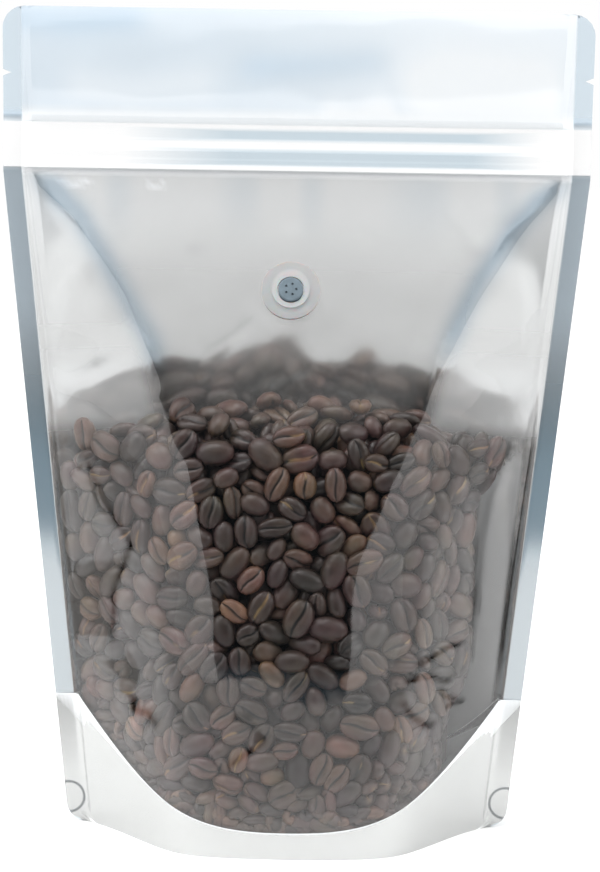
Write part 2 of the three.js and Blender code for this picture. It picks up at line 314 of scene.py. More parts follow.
@dataclass(frozen=True)
class Fold:
    """One crease pressed into a film.

    Attributes:
        path: Corners of the crease as (x, level) in millimetres.
        rise: Height of the ridge, or depth of the valley where negative.
        width: Distance over which it dies away.
        sharp: Whether the crease has an edge, or is rounded.
        mark: Half the width of the line that the broken gloss leaves along it, if any.
    """

    path: tuple[tuple[float, float], ...]
    rise: float
    width: float
    sharp: bool = True
    mark: float = 0.0

    def measure(self, x: Array, level: Array) -> tuple[Array, Array]:
        """How far each point is from the crease.

        Args:
            x: Places across the bag.
            level: Places up the bag.

        Returns:
            The distances, and how much of the crease is left before it dies away at its ends.
        """
        away = np.full(x.shape, 1e9)
        along = np.zeros(x.shape)
        done = 0.0
        spans = list(zip(self.path, self.path[1:]))
        total = sum(math.dist(a, b) for a, b in spans)
        for (x0, z0), (x1, z1) in spans:
            span = math.dist((x0, z0), (x1, z1))
            share = np.clip(((x - x0) * (x1 - x0) + (level - z0) * (z1 - z0)) / span**2, 0, 1)
            gap = np.hypot(x - mix(x0, x1, share), level - mix(z0, z1, share))
            along = np.where(gap < away, (done + share * span) / total, along)
            away = np.minimum(away, gap)
            done += span
        return away, smooth(along, -0.02, 0.2) * smooth(1 - along, -0.02, 0.2)

    def relief(self, x: Array, level: Array) -> Array:
        """Height of the crease at each point, outward in millimetres."""
        away, fade = self.measure(x, level)
        near = away / self.width
        return self.rise * fade * (np.exp(-near) if self.sharp else np.exp(-(near**2)))

    def line(self, x: Array, level: Array) -> Array:
        """Share of each point that the crease's line takes."""
        away, fade = self.measure(x, level)
        return fade * np.exp(-((away / self.mark) ** 2))


# Creases of the front film: the pair that falls from the zip's ends, the dents where the beans stop
# holding the film out, and the small ones of a bag that has been filled and handled
FRONT_FOLDS: tuple[Fold, ...] = (
    Fold(((-73, 180), (-60, 169), (-46, 150), (-40, 137), (-35, 124)), 1.1, 3.2),
    Fold(((73, 180), (61, 166), (50, 149), (43, 136), (40, 124)), 0.9, 3.4),
    Fold(((-68, 126), (-54, 131), (-41, 138)), -0.4, 6.0, False),
    Fold(((-68, 122), (-55, 119), (-44, 113)), 0.35, 3.5),
    Fold(((40, 127), (53, 129), (69, 126)), -0.45, 6.0, False),
    Fold(((45, 118), (53, 128)), 0.25, 3.0),
    Fold(((-62, 107), (-56, 103), (-51, 93), (-43, 82), (-48, 69), (-48, 49)), 1.3, 7.0, True, 0.9),
    Fold(((-46, 42), (-42, 40), (-42, 37), (-38, 37), (-34, 33)), 1.0, 2.5, True, 1.3),
    Fold(((-17, 24), (-11, 29), (-5, 33)), 0.7, 1.7, True, 1.0),
    Fold(((61, 110), (57, 104), (54, 94), (52, 83), (51, 64), (50, 56)), 0.8, 1.7, True, 1.3),
    Fold(((64, 108), (61, 94), (60.5, 77), (59, 57), (58, 39)), 0.7, 1.8, True, 1.0),
    Fold(((33, 51), (37, 52.5), (41, 54.4), (44, 55.5), (49, 55.6)), 0.3, 1.1, True, 0.8),
    Fold(((31, 50), (32.4, 47.8), (36, 48.5), (39, 48), (42.6, 45.8), (46, 48)), 0.3, 1.1, True, 0.8),
    Fold(((41, 45), (42.2, 42), (44, 41), (47, 40)), 0.3, 1.2, True, 0.8),
    Fold(((42, 38), (44.5, 39.3), (49, 39)), 0.3, 1.2, True, 0.85),
    Fold(((30, 44), (32.5, 39.3), (36.5, 35.3), (38.5, 34.5), (41, 36)), 0.3, 1.2, True, 0.9),
    Fold(((-9, 145), (-16, 139), (-26, 132)), -0.45, 2.2),
    Fold(((-1, 140), (0, 134), (2, 128)), -0.4, 2.0, False),
    Fold(((-30, 180), (-26, 170), (-28, 160)), 0.3, 3.0, False),
    Fold(((10, 180), (14, 168), (30, 158)), -0.25, 3.0, False),
    Fold(((38, 178), (46, 168), (50, 160)), 0.3, 2.5, False),
)

# Bands of the foil along the zip's corners, painted bluer as a reflection of the dark room; small painted
# glints under the zip's left end; and painted brighter and duller reflection patches on the header
PAINTED_REFLECTION_BANDS: tuple[Fold, ...] = (
    Fold(
        ((-76, 184), (-67, 177), (-60, 170), (-53, 158), (-46, 145), (-40, 134), (-36, 118)), 1.0, 3.4, False
    ),
    Fold(((78, 184), (66, 175), (58, 164), (51, 153), (46, 142), (40, 126)), 1.0, 3.2, False),
)
# Painted glints: patches of full haze that stand in for highlights on the foil under the zip
PAINTED_GLINTS: tuple[Fold, ...] = (
    Fold(((-67, 179.5), (-61, 177.5), (-55, 179.5)), 1.0, 1.6, False),
    Fold(((-42, 178.5), (-39, 177.5), (-35, 178.5)), 1.0, 1.1, False),
)
# Painted reflection: patches that raise and lower the header's haze and weld share
PAINTED_HEADER_PATCHES: tuple[Fold, ...] = (
    Fold(((26, 202), (40, 207), (74, 203)), 1.0, 9.0, False),
    Fold(((4, 198), (15, 195), (28, 199)), 1.1, 5.0, False),
    Fold(((-68, 206), (-45, 203), (-18, 207)), 0.7, 6.0, False),
    Fold(((-84, 223), (-62, 222), (-38, 224)), -1.0, 4.0, False),
    Fold(((-20, 210), (4, 211), (28, 213)), -0.9, 4.5, False),
    Fold(((28, 193), (46, 191.5), (70, 192.5)), -1.3, 2.6, False),
    Fold(((-64, 196), (-46, 194), (-26, 195)), -0.8, 3.4, False),
)

# Creases of the foil back, which nobody has smoothed either
BACK_FOLDS: tuple[Fold, ...] = (
    Fold(((-73, 180), (-58, 166), (-47, 148), (-39, 128), (-35, 104)), 0.6, 3.2),
    Fold(((73, 180), (60, 167), (48, 150), (41, 134), (36, 108)), 0.6, 3.2),
    Fold(((-67, 121), (-54, 125), (-42, 132)), -0.5, 5.0, False),
    Fold(((41, 130), (54, 124), (68, 119)), -0.5, 5.0, False),
    Fold(((-58, 98), (-50, 80), (-52, 56)), -0.5, 1.6),
    Fold(((60, 102), (52, 84), (49, 62)), -0.5, 1.6),
)


# Meshes


def mesh_object(name: str, points: Array, faces: list[tuple[int, ...]]) -> bpy.types.Object:
    """Make a smooth-shaded mesh object from points in millimetres.

    Args:
        name: The object's name.
        points: Vertex places.
        faces: Vertex numbers of each face.

    Returns:
        The object, linked to the scene.
    """
    mesh = bpy.data.meshes.new(name)
    mesh.from_pydata((np.asarray(points, float) * MM).tolist(), [], faces)
    mesh.polygons.foreach_set("use_smooth", [True] * len(mesh.polygons))
    mesh.update()
    made = bpy.data.objects.new(name, mesh)
    bpy.context.scene.collection.objects.link(made)
    return made


def closed_sheet(name: str, outer: Array, inner: Array, keep: Array | None = None) -> bpy.types.Object:
    """Make a closed thin sheet between two grids of points.

    Args:
        name: The object's name.
        outer: Grid of points on the outer face, rows by columns by three.
        inner: The same grid on the inner face.
        keep: Which cells are film, where some are cut out.

    Returns:
        The sheet, with its edges and any hole walled.
    """
    rows, columns = outer.shape[:2]
    keep = np.ones((rows - 1, columns - 1), bool) if keep is None else keep
    number = np.arange(rows * columns).reshape(rows, columns)
    back = number + rows * columns
    faces: list[tuple[int, ...]] = []
    open_beside = np.pad(keep, 1)
    for i, j in np.argwhere(keep):
        a, b, c, d = number[i, j], number[i, j + 1], number[i + 1, j + 1], number[i + 1, j]
        e, f, g, h = back[i, j], back[i, j + 1], back[i + 1, j + 1], back[i + 1, j]
        faces += [(a, b, c, d), (e, h, g, f)]
        walls = (
            (open_beside[i, j + 1], (a, e, f, b)),
            (open_beside[i + 2, j + 1], (d, c, g, h)),
            (open_beside[i + 1, j], (a, d, h, e)),
            (open_beside[i + 1, j + 2], (b, f, g, c)),
        )
        faces += [wall for held, wall in walls if not held]
    points = np.concatenate([outer.reshape(-1, 3), inner.reshape(-1, 3)])
    used = np.unique(np.array([v for face in faces for v in face]))
    renumber = np.full(len(points), -1)
    renumber[used] = np.arange(len(used))
    sheet = mesh_object(name, points[used], [tuple(int(renumber[v]) for v in face) for face in faces])
    sheet.data.set_sharp_from_angle(angle=math.radians(60))
    return sheet


def paint(piece: bpy.types.Object, name: str, values: Array) -> None:
    """Store a number on each vertex for the material to read.

    Args:
        piece: Object to paint.
        name: Attribute name.
        values: One number for each vertex.
    """
    attribute = piece.data.attributes.new(name, "FLOAT", "POINT")
    attribute.data.foreach_set("value", np.asarray(values, float))


def corners_mm(piece: bpy.types.Object) -> Array:
    """Vertex places of an object in millimetres."""
    flat = np.empty(len(piece.data.vertices) * 3)
    piece.data.vertices.foreach_get("co", flat)
    return flat.reshape(-1, 3) / MM


def hand_over(piece: bpy.types.Object, slot: str, *nodes: str) -> None:
    """Ride a finished piece on the part and hide the solids it stands for.

    Args:
        piece: Finished object.
        slot: Not used.
        nodes: CAD nodes that it replaces.
    """
    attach(piece, "root")
    if nodes:
        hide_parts(*nodes)
    LOG.info("%s: %d faces", piece.name, len(piece.data.polygons))


# Finishes


@dataclass(frozen=True)
class ClearFilm:
    """Clear polyester and polyethylene laminate, cast smooth: see-through with mirror-like glints.

    The attribute crease is 1 where a hard fold has broken the gloss, so that the film mirrors nothing.
    """

    tint: str = "#ffffff"
    facing_gloss: float = 0.052
    crease_loss: float = 1.0
    roughness: float = 0.05

    def make(self) -> bpy.types.Material:
        """Build the film: Schlick's rule sets how much of each face is mirror and how much is clear."""
        material, tree = new_material("polyester_film_cast_clear")
        edge_on = add_node(tree, "ShaderNodeLayerWeight", {"Blend": 0.5})
        power = add_node(tree, "ShaderNodeMath", {1: 5.0}, {0: edge_on.outputs["Facing"]}, operation="POWER")
        share = add_node(
            tree, "ShaderNodeMath", {1: 1.0 - self.facing_gloss, 2: self.facing_gloss},
            {0: power.outputs[0]}, operation="MULTIPLY_ADD",
        )
        crease = add_node(tree, "ShaderNodeAttribute", attribute_name="crease")
        whole = add_node(
            tree, "ShaderNodeMath", {1: -self.crease_loss, 2: 1.0}, {0: crease.outputs["Fac"]},
            operation="MULTIPLY_ADD",
        )
        share = add_node(
            tree, "ShaderNodeMath", links={0: share.outputs[0], 1: whole.outputs[0]}, operation="MULTIPLY",
        )
        clear = add_node(tree, "ShaderNodeBsdfTransparent", {"Color": to_linear(self.tint)})
        glint = add_node(
            tree, "ShaderNodeBsdfPrincipled",
            {"Base Color": (1, 1, 1, 1), "Metallic": 1.0, "Roughness": self.roughness},
        )
        both = add_node(
            tree, "ShaderNodeMixShader",
            links={0: share.outputs[0], 1: clear.outputs[0], 2: glint.outputs[0]},
        )
        show_surface(tree, both.outputs[0])
        return material


@dataclass(frozen=True)
class Foil:
    """Aluminium metallised on polyester: satin silver, mirror-flat and bluer where it was heat-welded.

    The attribute weld is 1 on a seal. The haze share is how much the plastic over the metal scatters light,
    a little
    all over, with painted light on it: painted highlights, a painted white band over the shade beside the
    zip, and painted shade where the foil mirrors the beans. The tint share is 1 along bands painted bluer as
    a painted reflection of the dark room.
    """

    loose: str = "#d9dad9"
    welded: str = "#e8f0f4"
    # Bluish tone multiplied in along the painted reflection bands
    taut: str = "#c9d8e4"
    milk: str = "#fafdff"
    welded_milk: str = "#d1e3f2"
    loose_roughness: float = 0.15
    welded_roughness: float = 0.06
    crinkle_mm: float = 14.0
    crinkle_depth_mm: float = 0.25
    punch_centre_mm: tuple[float, float] | None = None
    punch_radius_mm: float = 4.3
    # Colour of the painted shadow line round the punch
    punch_edge: str = "#4a5258"

    def make(self, name: str) -> bpy.types.Material:
        """Build the foil.

        Args:
            name: The material's name.

        Returns:
            The material.
        """
        material, tree = new_material(name)
        weld = add_node(tree, "ShaderNodeAttribute", attribute_name="weld")
        # Haze share of the plastic, with painted highlights and painted shade in it
        milk = add_node(tree, "ShaderNodeAttribute", attribute_name="milk")
        where = add_node(tree, "ShaderNodeTexCoord")
        silver = add_node(
            tree, "ShaderNodeMix", {6: to_linear(self.loose), 7: to_linear(self.welded)},
            {0: weld.outputs["Fac"]}, data_type="RGBA",
        )
        white = add_node(
            tree, "ShaderNodeMix", {6: to_linear(self.milk), 7: to_linear(self.welded_milk)},
            {0: weld.outputs["Fac"]}, data_type="RGBA",
        )
        colour = add_node(
            tree, "ShaderNodeMix", links={0: milk.outputs["Fac"], 6: silver.outputs[2], 7: white.outputs[2]},
            data_type="RGBA",
        )
        # Painted reflection: bands multiplied bluer where the foil would mirror the dark room
        taut = add_node(tree, "ShaderNodeAttribute", attribute_name="taut")
        colour = add_node(
            tree, "ShaderNodeMix", {7: to_linear(self.taut)}, {0: taut.outputs["Fac"], 6: colour.outputs[2]},
            data_type="RGBA", blend_type="MULTIPLY",
        )
        # Painted shadow round the punched half-round
        if self.punch_centre_mm:
            colour = self.punch_line(tree, where, colour)
        metal = add_node(tree, "ShaderNodeMath", {0: 1.0}, {1: milk.outputs["Fac"]}, operation="SUBTRACT")
        roughness = add_node(
            tree, "ShaderNodeMapRange", {3: self.loose_roughness, 4: self.welded_roughness},
            {0: weld.outputs["Fac"]},
        )
        crinkle = add_node(
            tree, "ShaderNodeTexNoise", {"Scale": 1 / (self.crinkle_mm * MM), "Detail": 0.0},
            {"Vector": where.outputs["Object"]},
        )
        pressed_flat = add_node(tree, "ShaderNodeMapRange", {3: 0.35, 4: 0.04}, {0: weld.outputs["Fac"]})
        bump = add_node(
            tree, "ShaderNodeBump", {"Distance": self.crinkle_depth_mm * MM},
            {"Height": crinkle.outputs[0], "Strength": pressed_flat.outputs[0]},
        )
        shader = add_node(
            tree,
            "ShaderNodeBsdfPrincipled",
            links={
                "Base Color": colour.outputs[2],
                "Metallic": metal.outputs[0],
                "Roughness": roughness.outputs[0],
                "Normal": bump.outputs[0],
            },
        )
        show_surface(tree, shader.outputs[0])
        return material

    def punch_line(
        self, tree: bpy.types.NodeTree, where: bpy.types.Node, colour: bpy.types.Node
    ) -> bpy.types.Node:
        """Paint a dark line round the half-round punched in each lower corner, as painted shadow at its
        edge.

        Args:
            tree: The material's tree.
            where: Its texture coordinates.
            colour: The node that gives the foil's colour.

        Returns:
            A node that gives the colour with the painted shadow line.
        """
        side, level = self.punch_centre_mm
        split = add_node(tree, "ShaderNodeSeparateXYZ", links={0: where.outputs["Object"]})
        out = add_node(tree, "ShaderNodeMath", links={0: split.outputs[0]}, operation="ABSOLUTE")
        flat = add_node(tree, "ShaderNodeCombineXYZ", links={0: out.outputs[0], 2: split.outputs[2]})
        away = add_node(
            tree, "ShaderNodeVectorMath", {1: (side * MM, 0, level * MM)}, {0: flat.outputs[0]},
            operation="DISTANCE",
        )
        off = add_node(
            tree, "ShaderNodeMath", {1: self.punch_radius_mm * MM}, {0: away.outputs["Value"]},
            operation="SUBTRACT",
        )
        gap = add_node(tree, "ShaderNodeMath", links={0: off.outputs[0]}, operation="ABSOLUTE")
        line = add_node(
            tree, "ShaderNodeMapRange", {1: 0.15 * MM, 2: 0.5 * MM, 3: 0.85, 4: 0.0}, {0: gap.outputs[0]}
        )
        return add_node(
            tree, "ShaderNodeMix", {7: to_linear(self.punch_edge)},
            {0: line.outputs[0], 6: colour.outputs[2]}, data_type="RGBA",
        )


@dataclass(frozen=True)
class MouldedMass:
    """Moulded plastic or another dull mass: clouded in tone, with a fine grain in its gloss."""

    name: str
    colour: str
    cloud: str
    roughness: float
    cloud_mm: float
    grain_mm: float
    grain_depth_mm: float

    def make(self) -> bpy.types.Material:
        """Build the material: noise drifts between its two tones and roughens its face."""
        material, tree = new_material(self.name)
        where = add_node(tree, "ShaderNodeTexCoord")
        cloud, grain = (
            add_node(
                tree, "ShaderNodeTexNoise", {"Scale": 1 / (size * MM), "Detail": 2.0},
                {"Vector": where.outputs["Object"]},
            )
            for size in (self.cloud_mm, self.grain_mm)
        )
        share = add_node(tree, "ShaderNodeMapRange", {1: 0.35, 2: 0.65}, {0: cloud.outputs[0]})
        colour = add_node(
            tree, "ShaderNodeMix", {6: to_linear(self.colour), 7: to_linear(self.cloud)},
            {0: share.outputs[0]}, data_type="RGBA",
        )
        bump = add_node(
            tree, "ShaderNodeBump", {"Strength": 0.5, "Distance": self.grain_depth_mm * MM},
            {"Height": grain.outputs[0]},
        )
        shader = add_node(
            tree, "ShaderNodeBsdfPrincipled", {"Roughness": self.roughness, "IOR": 1.51},
            {"Base Color": colour.outputs[2], "Normal": bump.outputs[0]},
        )
        show_surface(tree, shader.outputs[0])
        return material


@dataclass(frozen=True)
class ValvePlastic:
    """Moulded polyethylene: a white collar on a thin flange that takes the tone of what is behind it."""

    collar: str = "#b4b7b8"
    flange: str = "#a4a6a7"
    centre_mm: tuple[float, float] = (-1.1, 151.5)
    collar_radius_mm: float = 5.2
    roughness: float = 0.4

    def make(self) -> bpy.types.Material:
        """Build the valve's plastic, paler inside the collar's radius."""
        material, tree = new_material("polyethylene_valve_moulded")
        where = add_node(tree, "ShaderNodeTexCoord")
        split = add_node(tree, "ShaderNodeSeparateXYZ", links={0: where.outputs["Object"]})
        flat = add_node(tree, "ShaderNodeCombineXYZ", links={0: split.outputs[0], 2: split.outputs[2]})
        centre = (self.centre_mm[0] * MM, 0, self.centre_mm[1] * MM)
        away = add_node(
            tree, "ShaderNodeVectorMath", {1: centre}, {0: flat.outputs[0]}, operation="DISTANCE"
        )
        share = add_node(
            tree, "ShaderNodeMapRange",
            {1: (self.collar_radius_mm - 0.3) * MM, 2: (self.collar_radius_mm + 0.3) * MM},
            {0: away.outputs["Value"]},
        )
        colour = add_node(
            tree, "ShaderNodeMix", {6: to_linear(self.collar), 7: to_linear(self.flange)},
            {0: share.outputs[0]}, data_type="RGBA",
        )
        shader = add_node(
            tree, "ShaderNodeBsdfPrincipled",
            {"Roughness": self.roughness, "IOR": 1.51, "Subsurface Weight": 0.7, "Subsurface Scale": 2 * MM},
            {"Base Color": colour.outputs[2]},
        )
        show_surface(tree, shader.outputs[0])
        return material


@dataclass(frozen=True)
class ZipPlastic:
    """Extruded low-density polyethylene: milky tape with painted highlights along its ribs and towards its
    ends.
    """

    tape: str = "#d0dde5"
    # White of the painted highlights
    rib: str = "#ffffff"
    rib_levels: tuple[float, ...] = (182.6, 189.4, 194.6)
    rib_half_mm: float = 1.7
    left_white_mm: tuple[float, float] = (-18.0, -48.0)
    right_white_mm: tuple[float, float] = (48.0, 66.0)
    roughness: float = 0.22

    def make(self) -> bpy.types.Material:
        """Build the zip's plastic, with a painted highlight at each rib's level and towards each end."""
        material, tree = new_material("polyethylene_zip_extruded")
        where = add_node(tree, "ShaderNodeTexCoord")
        split = add_node(tree, "ShaderNodeSeparateXYZ", links={0: where.outputs["Object"]})
        nearest = None
        for level in self.rib_levels:
            gap = add_node(
                tree, "ShaderNodeMath", {1: level * MM}, {0: split.outputs[2]}, operation="SUBTRACT"
            )
            away = add_node(tree, "ShaderNodeMath", links={0: gap.outputs[0]}, operation="ABSOLUTE")
            if nearest is None:
                nearest = away
            else:
                nearest = add_node(
                    tree, "ShaderNodeMath", links={0: nearest.outputs[0], 1: away.outputs[0]},
                    operation="MINIMUM",
                )
        share = add_node(
            tree, "ShaderNodeMapRange",
            {1: 0.4 * self.rib_half_mm * MM, 2: self.rib_half_mm * MM, 3: 1.0, 4: 0.0},
            {0: nearest.outputs[0]},
        )
        # Painted highlight whitening the tape towards each end
        for middle, end in (self.left_white_mm, self.right_white_mm):
            white = add_node(
                tree, "ShaderNodeMapRange", {1: middle * MM, 2: end * MM}, {0: split.outputs[0]}
            )
            share = add_node(
                tree, "ShaderNodeMath", links={0: share.outputs[0], 1: white.outputs[0]},
                operation="MAXIMUM",
            )
        colour = add_node(
            tree, "ShaderNodeMix", {6: to_linear(self.tape), 7: to_linear(self.rib)}, {0: share.outputs[0]},
            data_type="RGBA",
        )
        shader = add_node(
            tree, "ShaderNodeBsdfPrincipled", {"Roughness": self.roughness, "IOR": 1.51},
            {"Base Color": colour.outputs[2]},
        )
        show_surface(tree, shader.outputs[0])
        return material


@dataclass(frozen=True)
class RoastedBean:
    """Roasted coffee: brown skin from near black to chestnut, a thin oil sheen, a groove painted near-black
    as shade.

    Some beans keep a line of tan chaff in the groove.
    """

    skins: tuple[tuple[float, str], ...] = (
        (0.0, "#221b18"),
        (0.3, "#362a25"),
        (0.55, "#473730"),
        (0.75, "#533e35"),
        (0.9, "#614939"),
        (1.0, "#775a48"),
    )
    # Painted shade: the groove's near-black colour
    groove: str = "#0c0807"
    chaff: str = "#8c7652"
    chaff_from: float = 0.6
    roughness: float = 0.38
    tint_mm: float = 8.0
    tint_range: float = 0.46
    patch_mm: float = 3.5
    wrinkle_mm: float = 2.0
    wrinkle_depth_mm: float = 0.16

    def make(self) -> bpy.types.Material:
        """Build the bean. One attribute gives each bean's roast, painted paler on the heap's top as painted
        light, and groove is 1 in the groove.
        """
        material, tree = new_material("coffee_bean_roasted")
        roast = add_node(tree, "ShaderNodeAttribute", attribute_name="roast")
        groove = add_node(tree, "ShaderNodeAttribute", attribute_name="groove")
        skin = add_node(tree, "ShaderNodeValToRGB", links={0: roast.outputs["Fac"]}, stops=self.skins)
        where = add_node(tree, "ShaderNodeTexCoord")
        tint = add_node(
            tree, "ShaderNodeTexNoise", {"Scale": 1 / (self.tint_mm * MM), "Detail": 0.0},
            {"Vector": where.outputs["Object"]},
        )
        pale = add_node(
            tree, "ShaderNodeMapRange", {1: self.chaff_from, 2: self.chaff_from + 0.06},
            {0: tint.outputs[0]},
        )
        line = add_node(
            tree, "ShaderNodeMix", {6: to_linear(self.groove), 7: to_linear(self.chaff)},
            {0: pale.outputs[0]}, data_type="RGBA",
        )
        colour = add_node(
            tree, "ShaderNodeMix", links={0: groove.outputs["Fac"], 6: skin.outputs[0], 7: line.outputs[2]},
            data_type="RGBA",
        )
        patches = add_node(
            tree, "ShaderNodeTexNoise", {"Scale": 1 / (self.patch_mm * MM), "Detail": 3.0},
            {"Vector": where.outputs["Object"]},
        )
        toast = add_node(
            tree, "ShaderNodeMapRange", {1: 0.3, 2: 0.7, 3: 0.72, 4: 1.2}, {0: patches.outputs[0]}
        )
        colour = add_node(
            tree, "ShaderNodeVectorMath", links={0: colour.outputs[2], "Scale": toast.outputs[0]},
            operation="SCALE",
        )
        hue = add_node(
            tree, "ShaderNodeVectorMath", {1: (self.tint_range,) * 3, 2: (1.0 - self.tint_range / 2,) * 3},
            {0: tint.outputs["Color"]}, operation="MULTIPLY_ADD",
        )
        colour = add_node(
            tree, "ShaderNodeVectorMath", links={0: colour.outputs[0], 1: hue.outputs[0]},
            operation="MULTIPLY",
        )
        wrinkle = add_node(
            tree, "ShaderNodeTexNoise",
            {"Scale": 1 / (self.wrinkle_mm * MM), "Detail": 2.0, "Roughness": 0.6},
            {"Vector": where.outputs["Object"]},
        )
        bump = add_node(
            tree, "ShaderNodeBump", {"Strength": 0.6, "Distance": self.wrinkle_depth_mm * MM},
            {"Height": wrinkle.outputs[0]},
        )
        shader = add_node(
            tree, "ShaderNodeBsdfPrincipled", {"Roughness": self.roughness, "Specular IOR Level": 0.45},
            {"Base Color": colour.outputs[0], "Normal": bump.outputs[0]},
        )
        show_surface(tree, shader.outputs[0])
        return material


# Beans


class BeanKind(Enum):
    """The shapes of bean in the bag, with their share of the heap and their sizes against the plain one."""

    PLAIN = ("plain", 0.6, (1.0, 1.0, 1.0))
    LONG = ("long", 0.25, (1.1, 0.97, 0.95))
    ROUND = ("round", 0.15, (0.88, 0.94, 1.12))

    @property
    def label(self) -> str:
        """Word for the kind in object names."""
        return self.value[0]

    @property
    def share(self) -> float:
        """Share of the heap."""
        return self.value[1]

    @property
    def stretch(self) -> tuple[float, float, float]:
        """Length, width and thickness against the plain bean."""
        return self.value[2]


@dataclass(frozen=True)
class Bean:
    """One plain bean in millimetres: a domed back, a flat face and a groove along that face."""

    length: float = 9.2
    width: float = 6.7
    thickness: float = 4.3
    groove_half: float = 0.6
    groove_depth: float = 0.95
    groove_bend: float = 0.42

    def build(self, name: str) -> bpy.types.Object:
        """Build the bean round the origin, length along X and dome towards +Z.

        Args:
            name: The object's name.

        Returns:
            The bean, with the attribute groove.
        """
        half, waist = self.width / 2, -0.18 * self.thickness
        top, flat = self.thickness / 2, -self.thickness / 2
        arch = [(math.cos(a), math.sin(a)) for a in np.linspace(0, math.pi, 6)]
        section = [(half * across, waist + (top - waist) * up, 0.0) for across, up in arch]
        section += [(-0.72 * half, flat + 0.14, 0.0), (-self.groove_half, flat, 0.0)]
        section += [(0.0, flat + self.groove_depth, 1.0)]
        section += [(self.groove_half, flat, 0.0), (0.72 * half, flat + 0.14, 0.0)]
        stations = (-0.9, -0.6, -0.2, 0.2, 0.6, 0.9)
        points: list[tuple[float, float, float]] = []
        groove: list[float] = []
        for station in stations:
            swell = (1 - abs(station) ** 2.4) ** 0.5
            bend = self.groove_bend * math.sin(math.pi * station)
            for across, up, in_groove in section:
                aside = bend if abs(across) <= self.groove_half else 0.0
                points.append((station * self.length / 2, swell * across + aside, swell * up))
                groove.append(in_groove)
        around = len(section)
        faces: list[tuple[int, ...]] = []
        for i in range(len(stations) - 1):
            for j in range(around):
                k = (j + 1) % around
                faces.append((i * around + j, i * around + k, (i + 1) * around + k, (i + 1) * around + j))
        for end, first in ((-1, 0), (1, (len(stations) - 1) * around)):
            points.append((end * self.length / 2, 0.0, waist * 0.3))
            groove.append(0.3)
            ring = [first + j for j in range(around)]
            for j in range(around):
                pair = (ring[j], ring[(j + 1) % around])
                faces.append((len(points) - 1, *(pair[::-1] if end < 0 else pair)))
        bean = mesh_object(name, np.array(points), faces)
        paint(bean, "groove", np.array(groove))
        return bean


def near_pairs(points: Array, reach: float) -> tuple[Array, Array]:
    """Pairs of points closer than about the reach, found by a grid of cells.

    Args:
        points: Places, one row each.
        reach: Cell size.

    Returns:
        The first and the second point of each pair.
    """
    cell = np.floor((points - points.min(0)) / reach).astype(np.int64) + 1
    step = np.array([1, cell[:, 0].max() + 2, (cell[:, 0].max() + 2) * (cell[:, 1].max() + 2)])
    key = cell @ step
    order = np.argsort(key)
    ranked = key[order]
    firsts, seconds = [], []
    for dx, dy, dz in np.ndindex(3, 3, 3):
        shift = int(np.array([dx - 1, dy - 1, dz - 1]) @ step)
        if shift < 0:
            continue
        low = np.searchsorted(ranked, key + shift, "left")
        count = np.searchsorted(ranked, key + shift, "right") - low
        first = np.repeat(np.arange(len(points)), count)
        run = np.arange(count.sum()) - np.repeat(np.cumsum(count) - count, count)
        second = order[np.repeat(low, count) + run]
        fresh = first < second if shift == 0 else np.ones(len(first), bool)
        firsts.append(first[fresh])
        seconds.append(second[fresh])
    return np.concatenate(firsts), np.concatenate(seconds)


